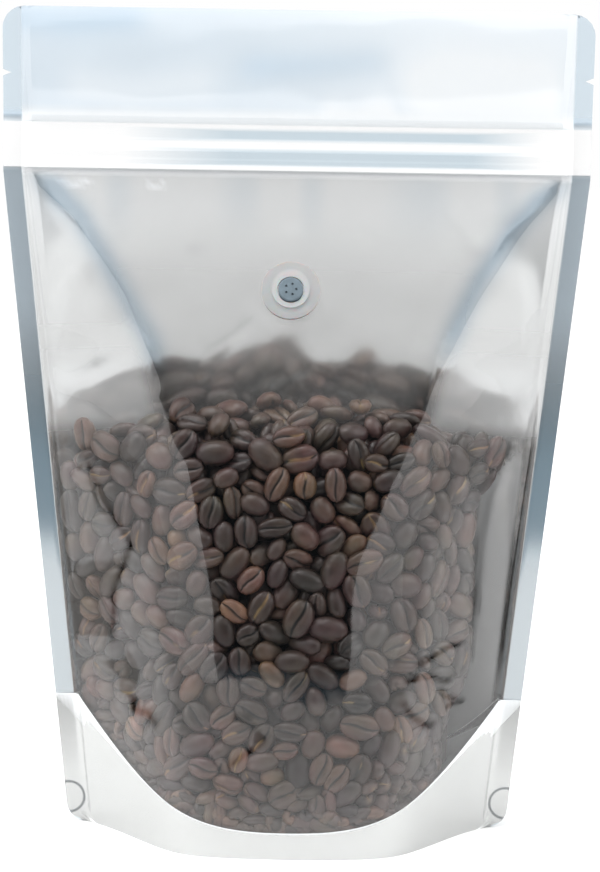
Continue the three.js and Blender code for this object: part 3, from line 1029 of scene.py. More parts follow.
@dataclass
class BeanHeap:
    """The beans that show through the film, settled against it and on a dark core.

    Attributes:
        form: The bag.
        bean: The plain bean.
        level: Where the heap's top ends up in the middle, in millimetres.
        slab: Thickness of the layer of beans in front of the core.
        spacing: Least distance between beans as they are thrown in.
        throw_top: Level up to which they are thrown.
        dome_out: Share of beans that turn their back to the film.
        steps: Steps of settling.
        seed: Start of the random draws.
        foil_gap: Least distance of a bean's skin from the foil. A bean that is nearer moves in or up.
        film_gap: Room left under a film while they settle, for its creases.
        core_depth: Distance of the core's face behind the front film.
        seen_depth: How deep behind the film a bean can still be seen.
    """

    form: PouchForm
    bean: Bean
    level: float = 119.0
    slab: float = 13.0
    spacing: float = 5.4
    throw_top: float = 141.0
    dome_out: float = 0.4
    steps: int = 170
    seed: int = 7
    foil_gap: float = 0.5
    film_gap: float = 0.8
    core_depth: float = 9.5
    seen_depth: float = 11.5

    def __post_init__(self) -> None:
        """Give the heap its empty results."""
        self.centres: Array = np.zeros((0, 3))
        self.turns: Array = np.zeros((0, 3, 3))
        self.kinds: list[BeanKind] = []
        self.sizes: Array = np.zeros((0, 3))
        self.inside: Array = np.zeros(0, bool)

    def core_top(self, x: Any) -> Array:
        """Level of the core's top, lower towards the sides."""
        return self.level - 12.0 - 7.0 * (np.asarray(x) / 60.0) ** 2

    def floor(self, x: Array, y: Array) -> Array:
        """Level that beans are held above as they settle: the gusset, and less at its rim."""
        side = np.clip(np.abs(x) / self.form.seal_edge(20.0), 0, 1)
        half = np.maximum(self.form.film(x, self.form.weld(side)), 1.0)
        outward = np.clip(np.abs(y) / half, 0, 1)
        return self.form.gusset(side, outward) + 0.4 - 2.4 * outward**6

    def saddle(self, x: Array, y: Array) -> Array:
        """Level of the gusset's own foil at a point."""
        side = np.abs(x) / self.form.half_width(self.form.weld(np.abs(x) / self.form.seal_edge(20.0)))
        half = np.maximum(self.form.film(x, self.form.weld(np.minimum(side, 1))), 1.0)
        return self.form.gusset(np.minimum(side, 1), np.minimum(np.abs(y) / half, 1))

    def hold(self, points: Array, radius: Array) -> Array:
        """How far each ball must move to be clear of the films, the gusset and the core.

        Args:
            points: Ball centres.
            radius: Ball radii.

        Returns:
            The moves.
        """
        x, y, z = points.T
        move = np.zeros_like(points)
        for side, back in ((1.0, True), (-1.0, False)):
            depth = self.form.film(x, z, back) - self.film_gap
            along_x, along_z = self.form.film_slopes(x, z, back)
            steep = np.sqrt(1 + along_x**2 + along_z**2)
            over = np.maximum(side * y - depth + radius * steep, 0) / steep**2
            move += np.stack([over * along_x, -side * over, over * along_z], 1)
        move[:, 0] -= np.maximum(x + radius - self.form.bare_from(z), 0)
        move[:, 2] += np.maximum(self.floor(x, y) + radius - z, 0)
        behind = (depth + y) / steep - self.slab
        below = self.core_top(x) + radius - z
        buried = (behind > 0) & (below > 0)
        forward = buried & (behind < below)
        upward = buried & ~forward
        move[:, 1] -= np.where(forward, behind, 0)
        move[:, 2] += np.where(upward, below, 0)
        return move

    def scatter(self, rng: np.random.Generator) -> Array:
        """Throw bean centres into the bag, no two closer than the spacing.

        Args:
            rng: Random source.

        Returns:
            The centres.
        """
        low, high = np.array([-66.0, -39.0, 3.0]), np.array([66.0, 30.0, self.throw_top])
        thrown = low + rng.random((90000, 3)) * (high - low)
        clear = np.linalg.norm(self.hold(thrown, np.full(len(thrown), 2.4)), axis=1) == 0
        held = np.full((3000, 3), 1e6)
        count = 0
        for point in thrown[clear]:
            if ((held[:count] - point) ** 2).sum(1).min(initial=1e9) > self.spacing**2:
                held[count] = point
                count += 1
        return held[:count].copy()

    def lay(self, rng: np.random.Generator) -> Array:
        """First turns: flat to the film near it, groove in or out, and any way up elsewhere.

        Args:
            rng: Random source.

        Returns:
            One rotation matrix for each bean.
        """
        count = len(self.centres)
        normal = self.film_normal()
        side = np.where(rng.random(count) < self.dome_out, 1.0, -1.0)[:, None]
        tilt = rng.normal(0, 0.5, (count, 3))
        up = normal * side + tilt
        up /= np.linalg.norm(up, axis=1, keepdims=True)
        lead = rng.normal(size=(count, 3)) * np.array([1.0, 1.0, 0.8])
        along = lead - (lead * up).sum(1, keepdims=True) * up
        along /= np.linalg.norm(along, axis=1, keepdims=True)
        return np.stack([along, np.cross(up, along), up], 2)

    def film_normal(self) -> Array:
        """Outward direction of the front film in front of each bean."""
        along_x, along_z = self.form.film_slopes(self.centres[:, 0], self.centres[:, 2])
        normal = np.stack([-along_x, -np.ones(len(along_x)), -along_z], 1)
        return normal / np.linalg.norm(normal, axis=1, keepdims=True)

    def behind_film(self) -> Array:
        """Distance of each bean's centre behind the front film."""
        x, y, z = self.centres.T
        along_x, along_z = self.form.film_slopes(x, z)
        return (self.form.film(x, z) + y) / np.sqrt(1 + along_x**2 + along_z**2)

    def settle(self) -> None:
        """Throw the beans in and let them fall, turn and push each other apart until they lie still."""
        rng = np.random.default_rng(self.seed)
        self.centres = self.scatter(rng)
        count = len(self.centres)
        kinds = list(BeanKind)
        drawn = rng.choice(len(kinds), count, p=[kind.share for kind in kinds])
        self.kinds = [kinds[i] for i in drawn]
        stretch = np.array([kind.stretch for kind in self.kinds])
        self.sizes = stretch * rng.normal(1.0, 0.09, (count, 1)).clip(0.78, 1.16)
        self.sizes *= rng.normal(1.0, 0.05, (count, 3)).clip(0.9, 1.1)
        self.turns = self.lay(rng)
        half = self.bean.thickness / 2
        out, aside = self.bean.length / 2 - half, self.bean.width / 2 - half
        balls = np.array(
            [(0, 0, 0), (out, 0, 0), (-out, 0, 0)]
            + [(sx * out * 0.52, sy * aside, 0) for sx in (-1, 1) for sy in (-1, 1)]
        )
        local = balls[None] * self.sizes[:, None]
        radius = np.repeat(half * self.sizes[:, 2], len(balls)) * 0.97
        owner = np.repeat(np.arange(count), len(balls))
        first = second = np.zeros(0, int)
        for step in range(self.steps):
            arms = np.einsum("nij,nkj->nki", self.turns, local)
            points = (self.centres[:, None] + arms).reshape(-1, 3)
            if step % 4 == 0:
                first, second = near_pairs(points, 5.8)
                apart = owner[first] != owner[second]
                first, second = first[apart], second[apart]
            between = points[first] - points[second]
            gap = np.linalg.norm(between, axis=1) + 1e-9
            over = np.maximum(radius[first] + radius[second] - gap, 0)
            shove = between * (0.5 * over / gap)[:, None]
            push = self.hold(points, radius)
            touched = (np.linalg.norm(push, axis=1) > 0).astype(float)
            for axis in range(3):
                push[:, axis] += np.bincount(first, shove[:, axis], len(points))
                push[:, axis] -= np.bincount(second, shove[:, axis], len(points))
            meets = (over > 0).astype(float)
            touched += np.bincount(first, meets, len(points)) + np.bincount(second, meets, len(points))
            push = push.reshape(count, -1, 3)
            contacts = np.maximum(touched.reshape(count, -1).sum(1), 1.0)[:, None]
            self.centres += 1.5 * push.sum(1) / contacts
            twist = np.cross(arms, push).sum(1) / (arms**2).sum((1, 2))[:, None]
            self.turn(0.8 * twist + self.press())
            ease = 1 - step / self.steps
            self.centres[:, 2] -= 0.4 * ease
            self.centres[:, 1] -= 0.12 * ease * (self.behind_film() > 3.0)
        arms = np.einsum("nij,nkj->nki", self.turns, local)
        for _ in range(8):
            points = (self.centres[:, None] + arms).reshape(-1, 3)
            push = self.hold(points, radius).reshape(count, -1, 3)
            worst = np.abs(push[:, :, 1]).argmax(1)
            self.centres += push[np.arange(count), worst]
        stray = np.abs(push[:, :, 1]).max(1)
        self.clear_foil()
        self.inside = (stray < 0.3) & (self.centres[:, 2] > 1.0)
        LOG.info("%d beans settled, %d dropped", count, (~self.inside).sum())

    def clear_foil(self) -> None:
        """Move beans whose skin is too near the foil: in from the side seals, and up from the gusset."""
        skin = np.indices((3, 3, 3)).reshape(3, 27).T - 1.0
        skin /= np.maximum(np.linalg.norm(skin, axis=1, keepdims=True), 1.0)
        skin *= [self.bean.length / 2, self.bean.width / 2, self.bean.thickness / 2]
        skin = self.centres[:, None] + np.einsum("nij,nkj->nki", self.turns, skin * self.sizes[:, None])
        past = (skin[..., 1] - self.form.film(skin[..., 0], skin[..., 2], True)).max(1) + self.foil_gap
        self.centres[:, 0] -= np.sign(self.centres[:, 0]) * np.clip(2.5 * past, 0, 4)
        sunk = (self.saddle(skin[..., 0], skin[..., 1]) - skin[..., 2]).max(1) + 2.5 * self.foil_gap
        self.centres[:, 2] += np.clip(sunk, 0, 5) * (self.centres[:, 2] < 30)

    def press(self) -> Array:
        """Small turns that lay beans at the film flat against it."""
        up = self.turns[:, :, 2]
        normal = self.film_normal()
        normal = normal * np.sign((up * normal).sum(1, keepdims=True))
        near = np.clip(1.6 - self.behind_film() / 5.0, 0, 1)[:, None]
        return 0.02 * near * np.cross(up, normal)

    def turn(self, twist: Array) -> None:
        """Turn each bean by a small rotation vector.

        Args:
            twist: Axis times angle in radians, one row for each bean.
        """
        size = np.linalg.norm(twist, axis=1, keepdims=True)
        twist = twist * np.minimum(1.0, 0.25 / np.maximum(size, 1e-9))
        turned = self.turns + np.cross(twist[:, None], self.turns, axisa=2, axisb=1, axisc=1)
        along = turned[:, :, 0]
        along /= np.linalg.norm(along, axis=1, keepdims=True)
        up = turned[:, :, 2] - (turned[:, :, 2] * along).sum(1, keepdims=True) * along
        up /= np.linalg.norm(up, axis=1, keepdims=True)
        self.turns = np.stack([along, np.cross(up, along), up], 2)

    def shown(self) -> Array:
        """Which beans can be seen, in the first layers behind the film or on top of the heap."""
        top = self.centres[:, 2] > self.core_top(self.centres[:, 0]) - 2.0
        return self.inside & ((self.behind_film() < self.seen_depth) | top)

    def points_object(self, chosen: Array, rng: np.random.Generator) -> bpy.types.Object:
        """Make bare points that carry each bean's turn, size and roast.

        Args:
            chosen: Numbers of the beans.
            rng: Random source.

        Returns:
            A mesh object of points.
        """
        made = mesh_object("bean_points", self.centres[chosen], [])
        turn = [tuple(Matrix(self.turns[i].tolist()).to_euler()) for i in chosen]
        for name, rows in (("turn", np.array(turn)), ("size", self.sizes[chosen])):
            attribute = made.data.attributes.new(name, "FLOAT_VECTOR", "POINT")
            attribute.data.foreach_set("vector", np.asarray(rows, float).ravel())
        # Painted light: beans at the top of the heap painted paler, as if lit from above
        painted_top_light = smooth(self.centres[chosen, 2], self.level - 7, self.level + 1)
        paint(made, "roast", rng.beta(2.0, 2.4, len(chosen)) * mix(1.0, 0.36, painted_top_light) + 0.68 * painted_top_light)
        return made

    def spread_tree(self) -> bpy.types.GeometryNodeTree:
        """Node tree that sets a bean on every point and makes them one mesh."""
        tree = bpy.data.node_groups.new("beans_on_points", "GeometryNodeTree")
        for name, kind in (("Points", "Geometry"), ("Bean", "Object"), ("Finish", "Material")):
            tree.interface.new_socket(name, in_out="INPUT", socket_type=f"NodeSocket{kind}")
        tree.interface.new_socket("Beans", in_out="OUTPUT", socket_type="NodeSocketGeometry")
        given = add_node(tree, "NodeGroupInput")
        bean = add_node(tree, "GeometryNodeObjectInfo", links={"Object": given.outputs["Bean"]})
        turn = add_node(tree, "GeometryNodeInputNamedAttribute", {"Name": "turn"}, data_type="FLOAT_VECTOR")
        size = add_node(tree, "GeometryNodeInputNamedAttribute", {"Name": "size"}, data_type="FLOAT_VECTOR")
        angle = add_node(tree, "FunctionNodeEulerToRotation", links={0: turn.outputs[0]})
        placed = add_node(
            tree,
            "GeometryNodeInstanceOnPoints",
            links={
                "Points": given.outputs["Points"],
                "Instance": bean.outputs["Geometry"],
                "Rotation": angle.outputs[0],
                "Scale": size.outputs[0],
            },
        )
        real = add_node(tree, "GeometryNodeRealizeInstances", links={0: placed.outputs[0]})
        dressed = add_node(
            tree, "GeometryNodeSetMaterial",
            links={"Geometry": real.outputs[0], "Material": given.outputs["Finish"]},
        )
        add_node(tree, "NodeGroupOutput", links={0: dressed.outputs[0]})
        return tree

    def build(self, finish: bpy.types.Material) -> list[bpy.types.Object]:
        """Build the beans that can be seen, one mesh for each kind.

        Args:
            finish: The beans' material.

        Returns:
            The meshes.
        """
        rng = np.random.default_rng(self.seed + 1)
        tree = self.spread_tree()
        plain = self.bean.build("bean_pattern")
        seen = self.shown()
        pieces = []
        for kind in BeanKind:
            chosen = [i for i in np.flatnonzero(seen) if self.kinds[i] is kind]
            points = self.points_object(np.array(chosen), rng)
            modifier = points.modifiers.new("beans", "NODES")
            modifier.node_group = tree
            for socket in tree.interface.items_tree:
                if socket.name == "Bean":
                    modifier[socket.identifier] = plain
                if socket.name == "Finish":
                    modifier[socket.identifier] = finish
            bpy.context.view_layer.update()
            shape = points.evaluated_get(bpy.context.evaluated_depsgraph_get())
            mesh = bpy.data.meshes.new_from_object(shape)
            mesh.name = f"beans_{kind.label}"
            mesh.polygons.foreach_set("use_smooth", [True] * len(mesh.polygons))
            piece = bpy.data.objects.new(mesh.name, mesh)
            bpy.context.scene.collection.objects.link(piece)
            bpy.data.objects.remove(points)
            LOG.info("%d %s beans", len(chosen), kind.label)
            pieces.append(piece)
        bpy.data.objects.remove(plain)
        return pieces

    def build_core(self) -> bpy.types.Object:
        """Build the mass for the beans that can't be seen one by one; its near-black is painted shade."""
        across = np.linspace(-1, 1, 41)
        rise = np.linspace(0, 1, 33)
        rows = []
        for share in rise:
            x = across * 44.0
            side = np.abs(x) / self.form.seal_edge(20.0)
            bottom = np.maximum(self.form.weld(side), self.form.fold_side * side**2.2) + 1.5
            z = mix(bottom, self.core_top(x), share)
            rows.append(np.stack([x, np.zeros_like(x), z], 1))
        front, back = np.array(rows), np.array(rows)
        depth = self.form.film(front[..., 0], front[..., 2])
        behind = self.form.film(front[..., 0], front[..., 2], True)
        front[..., 1] = -np.maximum(depth - self.core_depth, 0.5)
        back[..., 1] = np.maximum(behind - 1.2, 1.0)
        return closed_sheet("beans_core", front, back)


# Films


@dataclass
class Films:
    """The bag's three films: clear front, foil back and foil gusset.

    Attributes:
        form: The bag.
        thickness: Film thickness in millimetres.
        front_step: Fineness of the front's mesh, for its thin creases.
        back_step: Fineness of the back's mesh.
        weld_lip: Width of the bead along the top of the gusset's weld.
        seal_step: Half the width of the edge where a side seal starts.
        paunch: How far the slack back bulges above the beans.
        paunch_level: Where it bulges most.
        paunch_reach: How far up and down the bulge reaches.
    """

    form: PouchForm
    thickness: float = 0.12
    front_step: float = 0.9
    back_step: float = 1.3
    weld_lip: float = 0.6
    seal_step: float = 0.2
    paunch: float = 1.2
    paunch_level: float = 141.0
    paunch_reach: float = 14.0

    def grid(self, step: float) -> tuple[Array, Array]:
        """Lay columns and rows over a panel: even inside, with a band of their own on the side seals.

        Args:
            step: Distance between them, in millimetres.

        Returns:
            The x and the level of each point.
        """
        form = self.form
        levels = np.linspace(0, form.height, int(form.height / step))
        rise = 1 - np.cos(np.linspace(0, math.pi / 2, 6))
        corners = list(form.foot_corner * rise) + list(form.height - form.top_corner * rise)
        notch = [form.notch_level + k * form.notch_half for k in (-1, 0, 1)]
        marked = np.array(corners + notch + list(form.rib_levels))
        far = np.abs(levels[:, None] - marked[None]).min(1) > 0.5
        levels = np.unique(np.round(np.concatenate([levels[far], marked]), 4))
        outer = form.half_width(levels)
        edge = np.minimum(form.seal_edge(levels), outer - 0.8)
        inside = np.linspace(-1, 1, int(2 * form.seal_edge(form.height) / step))
        start = edge[:, None] + self.seal_step
        right = start + (outer[:, None] - start) * np.linspace(0, 1, 5)
        x = np.concatenate([-right[:, ::-1], inside * (edge[:, None] - self.seal_step), right], 1)
        return x, np.repeat(levels[:, None], x.shape[1], 1)

    def relief(self, x: Array, level: Array, folds: tuple[Fold, ...], seed: int) -> Array:
        """Creases and slackness of a film, none of it on the seals. The beans stop it from denting in.

        Args:
            x: Columns.
            level: Rows.
            folds: The film's creases.
            seed: Start of the random draws.

        Returns:
            Relief in millimetres, outward.
        """
        rng = np.random.default_rng(seed)
        height = sum(fold.relief(x, level) for fold in folds)
        slack = np.zeros_like(x)
        for _ in range(9):
            angle, wave, phase = rng.uniform(0, math.pi), rng.uniform(16, 46), rng.uniform(0, 6.3)
            slack += np.sin(6.283 / wave * (math.cos(angle) * x + math.sin(angle) * level) + phase)
        sway = 0.05 * smooth(level, 96, 130) - 0.025 * smooth(level, 140, 165)
        sway += 0.03 * smooth(-level, -75, -50)
        height = height + slack * sway
        inside = smooth(self.form.seal_edge(level) - np.abs(x), 0, 6)
        body = smooth(self.form.zip_foot - level, 0, 5) * smooth(level, 22, 40)
        header = smooth(level, self.form.zip_head, self.form.zip_head + 6) * 0.6
        held = -0.3 - 2.0 * smooth(level, 112, 124)
        return np.maximum(height, held) * inside * (body + header)

    def build_front(self) -> bpy.types.Object:
        """Build the clear front film, with a hole for the valve's cap."""
        form = self.form
        x, level = self.grid(self.front_step)
        away = np.hypot(x - form.valve_x, level - form.valve_level)
        middle = (away[:-1, :-1] + away[1:, 1:] + away[:-1, 1:] + away[1:, :-1]) / 4
        keep = middle > form.valve_hole
        rim = np.pad(~keep, 1)
        touches = rim[:-1, :-1] | rim[1:, :-1] | rim[:-1, 1:] | rim[1:, 1:]
        kept = np.pad(keep, 1)
        stays = kept[:-1, :-1] | kept[1:, :-1] | kept[:-1, 1:] | kept[1:, 1:]
        ring = touches & stays
        scale = np.where(ring, form.valve_hole / np.maximum(away, 0.1), 1.0)
        x = form.valve_x + (x - form.valve_x) * scale
        level = form.valve_level + (level - form.valve_level) * scale
        away = np.hypot(x - form.valve_x, level - form.valve_level)
        calm = smooth(away, form.valve_radius + 1, form.valve_flat)
        raised = form.valve_lift * (1 - smooth(away, form.valve_radius - 1.5, form.valve_radius + 1.5))
        relief = self.relief(x, level, FRONT_FOLDS, 3) * calm + raised
        outer = np.stack([x, -(form.front(x, level) + relief + form.nod(level)), level], 2)
        inner = outer + np.array([0, self.thickness, 0])
        film = closed_sheet("front_film", outer, inner, keep)
        across, _, up = corners_mm(film).T
        paint(film, "crease", np.max([fold.line(across, up) for fold in FRONT_FOLDS if fold.mark], axis=0))
        return film

    def build_back(self) -> bpy.types.Object:
        """Build the foil back."""
        x, level = self.grid(self.back_step)
        relief = self.relief(x, level, BACK_FOLDS, 5)
        paunch = np.exp(-(((level - self.paunch_level) / self.paunch_reach) ** 2))
        relief += self.paunch * paunch * smooth(self.form.seal_edge(level) - np.abs(x), 4, 16)
        depth = self.form.film(x, level, True) + relief - self.form.nod(level)
        outer = np.stack([-x, depth, level], 2)
        inner = outer - np.array([0, self.thickness, 0])
        foil = closed_sheet("back_foil", outer, inner)
        places = corners_mm(foil)
        level, out = places[:, 2], np.abs(places[:, 0])
        inward = self.form.seal_edge(level) - out
        seal = 1 - smooth(inward, -self.seal_step, self.seal_step)
        in_zip = smooth(level - self.form.zip_foot, 0.5, 1.5)
        in_zip *= smooth(self.form.zip_head - level, -0.5, 0.5)
        crushed = in_zip * (1 - smooth(inward, 6.0, 9.0))
        header = smooth(level - self.form.zip_head, -1.0, 1.0)
        # Painted light: the header painted whiter towards the right, with painted brighter and duller
        # patches
        lit = smooth(places[:, 0], -45, 60)
        wing = 1 - smooth(inward - self.form.crease_in(level), -6.0, 0.0)
        past_beans = places[:, 0] - self.form.bare_from(level)
        fin = smooth(past_beans, -1.0, 1.0) * smooth(-level, -112, -96)
        bare = smooth(past_beans, 0.8, 1.8) * smooth(level, 12, 20) * smooth(inward, 2.0, 3.5)
        # Painted reflection: bluish bands from the zip's corners, and painted streaks under the zip
        taut = sum(band.relief(places[:, 0], level) for band in PAINTED_REFLECTION_BANDS)
        painted_streak = np.sin(places[:, 0] / 4.1 + 1.2 * np.sin(places[:, 0] / 9))
        taut += 0.3 * np.clip(painted_streak, 0, 1) * smooth(level, 158, 178) * (1 - header)
        glow = lit + sum(painted_patch.relief(places[:, 0], level) for painted_patch in PAINTED_HEADER_PATCHES)
        # Painted highlights: the glints raise the haze share to full white
        painted_glint = sum(glint_band.relief(places[:, 0], level) for glint_band in PAINTED_GLINTS)
        # Painted light in the haze share: darker low in the chamber, whiter under the zip and in the wings
        middle = 0.22 - 0.14 * smooth(-level, -148, -122) + 0.26 * smooth(level, 148, 174)
        middle += wing * mix(0.4 * smooth(level, 106, 114), 0.08, smooth(level, 122, 136))
        # Past the beans' right edge the haze is painted low as painted shade where the foil mirrors them
        body = mix(np.maximum(middle, np.minimum(painted_glint, 1.0)), 0.05 + 0.52 * bare, fin)
        # Seals painted whiter upwards, as painted reflection
        body = mix(body, 0.08 + 0.42 * smooth(level, 105, 150), seal)
        haze_share_with_painted_light = mix(body, mix(mix(0.88, 1.0, np.clip(glow, 0, 1)), 0.25, seal), header)
        # Painted highlight: seals whiter at the zip's top edge
        haze_share_with_painted_light = np.maximum(haze_share_with_painted_light, 0.75 * seal * (1 - smooth(np.abs(level - self.form.zip_head), 1.0, 2.5)))
        # Painted white over the shade just above and below the zip
        beside_zip = smooth(level - self.form.zip_foot, -2.0, 0.0)
        beside_zip *= smooth(self.form.zip_head - level, -4.0, -1.0)
        # In the header the weld share follows the painted light: bluer where it is dull and less where it is
        # bright
        weld = np.maximum(seal * (1 - in_zip), header * mix(np.clip(mix(0.6, 0.2, glow), 0, 1), 1.0, seal))
        weld *= 1 - beside_zip * (1 - seal)
        milk = np.maximum(np.maximum(crushed, beside_zip * (1 - seal)), haze_share_with_painted_light)
        # Seals take a little of the painted bluish tint in the header; none of it is painted beside the zip
        taut = mix(taut * (1 - beside_zip), 0.3 * header, seal)
        inside = np.arange(len(level)) >= len(level) // 2
        # The outer face: welds on the seals and part of the header, an even haze and an even bluish painted
        # tint
        paint(foil, "weld", np.where(inside, weld, np.maximum(seal, 0.4 * header)))
        paint(foil, "milk", np.where(inside, milk, 0.22))
        paint(foil, "taut", np.where(inside, taut, 0.6))
        return foil

    def build_zip_end(self, side: int, tapes: Array) -> bpy.types.Object:
        """Build one end of the zip, crushed flat from the tapes' full thickness into the side seal.

        Args:
            side: -1 for the left end and 1 for the right one.
            tapes: Lowest and highest corner of the two tapes.

        Returns:
            The end.
        """
        form, gap = self.form, self.thickness + 0.04
        levels = np.linspace(tapes[0, 2], tapes[1, 2], 25)
        start, outer = tapes[1, 0], form.half_width(levels) - 0.1
        x = (start + (outer - start)[:, None] * np.linspace(0, 1, 25)) * side
        z = np.repeat(levels[:, None], x.shape[1], 1)
        front = np.stack([x, np.maximum(gap - form.film(x, z), tapes[0, 1]), z], 2)
        back = np.stack([x, np.minimum(form.film(x, z, True) - gap, tapes[1, 1]), z], 2)
        if side < 0:
            front, back = front[:, ::-1], back[:, ::-1]
        return closed_sheet("zip_end_right" if side > 0 else "zip_end_left", front, back)

    def skirt(self, across: Array, back: bool) -> Array:
        """Rows of points up the inside of a skirt, from the table to the weld.

        Args:
            across: Shares of the half-width.
            back: Whether it is the back skirt.

        Returns:
            Grid of points.
        """
        weld = self.form.weld_top(across)
        levels = [(weld - self.weld_lip) * share for share in np.linspace(0, 1, 20)] + [weld]
        rows = []
        for level in levels:
            x = across * (self.form.half_width(level) - 0.05)
            depth = np.maximum(self.form.film(x, level, back) - 0.22, 0.13)
            rows.append(np.stack([x, depth if back else -depth, level], 1))
        return np.array(rows)

    def build_gusset(self) -> bpy.types.Object:
        """Build the gusset: up inside the front skirt, over the folded floor and down the back skirt."""
        form = self.form
        across = np.linspace(-1, 1, 121)
        weld = form.weld(across)
        x = across * (form.half_width(weld) - 0.05)
        front = np.maximum(form.film(x, weld) - 0.22, 0.13)
        back = np.maximum(form.film(x, weld, True) - 0.22, 0.13)
        saddle = []
        for outward in np.linspace(-1, 1, 31)[1:-1]:
            level = np.maximum(form.gusset(across, outward), 0.15)
            saddle.append(np.stack([x, outward * (back if outward > 0 else front), level], 1))
        front_rows = self.skirt(across, False)
        outer = np.concatenate([front_rows, np.array(saddle), self.skirt(across, True)[::-1]])
        normal = np.cross(np.gradient(outer, axis=1), np.gradient(outer, axis=0))
        normal /= np.maximum(np.linalg.norm(normal, axis=2, keepdims=True), 1e-9)
        inner = outer - 0.1 * normal
        inner[..., 2] = np.maximum(inner[..., 2], 0.0)
        gusset = closed_sheet("gusset_foil", outer, inner)
        # A little haze all over, more towards the floor's sides; the weld's top rows are painted white as a
        # painted highlight
        milk = np.full(outer.shape[:2], 0.17)
        milk[len(front_rows) : -len(front_rows)] += 0.5 * smooth(x, 36, 44)
        milk[len(front_rows) - 1] = milk[-len(front_rows)] = 1.0
        paint(gusset, "weld", np.zeros(len(gusset.data.vertices)))
        paint(gusset, "milk", np.tile(milk.ravel(), 2))
        return gusset


# Stage


@dataclass(frozen=True)
class Camera:
    """The photograph's view: level with the top of the bag, a little down and a little turned."""

    place_mm: tuple[float, float, float] = (2.02, -900.0, 232.4)
    down_deg: float = 7.767
    roll_deg: float = 0.936
    lens_mm: float = 136.19

    def build(self) -> bpy.types.Object:
        """Set the camera up for a 600 by 872 picture."""
        data = bpy.data.cameras.new("camera")
        data.lens = self.lens_mm
        data.sensor_width = 36.0
        made = bpy.data.objects.new("camera", data)
        bpy.context.scene.collection.objects.link(made)
        tilt = Matrix.Rotation(math.radians(90 - self.down_deg), 4, "X")
        roll = Matrix.Rotation(math.radians(self.roll_deg), 4, "Z")
        place = Matrix.Translation([value * MM for value in self.place_mm])
        made.matrix_world = place @ tilt @ roll
        bpy.context.scene.camera = made
        return made


@dataclass(frozen=True)
class Softbox:
    """One rectangular studio light, out of the camera's sight."""

    name: str
    place: tuple[float, float, float]
    aim: tuple[float, float, float]
    width: float
    height: float
    radiance: float

    def build(self) -> bpy.types.Object:
        """Hang the light and point it."""
        data = bpy.data.lights.new(self.name, "AREA")
        data.shape = "RECTANGLE"
        data.size, data.size_y = self.width, self.height
        data.energy = self.radiance * self.width * self.height * math.pi
        made = bpy.data.objects.new(self.name, data)
        bpy.context.scene.collection.objects.link(made)
        way = np.array(self.aim) - np.array(self.place)
        made.location = self.place
        made.rotation_euler = Vector(way.tolist()).to_track_quat("-Z", "Y").to_euler()
        made.visible_camera = False
        return made


@dataclass(frozen=True)
class GlowCard:
    """A card round the set, out of the camera's sight, that the bag reflects.

    Attributes:
        name: The card's name.
        corners: Its corners in metres.
        stops: Its colour at each level, from the lowest up.
    """

    name: str
    corners: tuple[tuple[float, float, float], ...]
    stops: tuple[tuple[float, str], ...]

    def build(self) -> bpy.types.Object:
        """Hang the card."""
        card = mesh_object(self.name, np.array(self.corners) / MM, [tuple(range(len(self.corners)))])
        material, tree = new_material(f"{self.name}_glow")
        where = add_node(tree, "ShaderNodeTexCoord")
        split = add_node(tree, "ShaderNodeSeparateXYZ", links={0: where.outputs["Object"]})
        low, high = self.stops[0][0], self.stops[-1][0]
        rise = add_node(tree, "ShaderNodeMapRange", {1: low, 2: high}, {0: split.outputs[2]})
        stops = tuple(((level - low) / (high - low), colour) for level, colour in self.stops)
        shade = add_node(tree, "ShaderNodeValToRGB", links={0: rise.outputs[0]}, stops=stops)
        glow = add_node(tree, "ShaderNodeEmission", links={"Color": shade.outputs[0]})
        show_surface(tree, glow.outputs[0])
        card.data.materials.append(material)
        card.visible_camera = False
        card.visible_diffuse = False
        card.visible_shadow = False
        card.visible_transmission = False
        return card


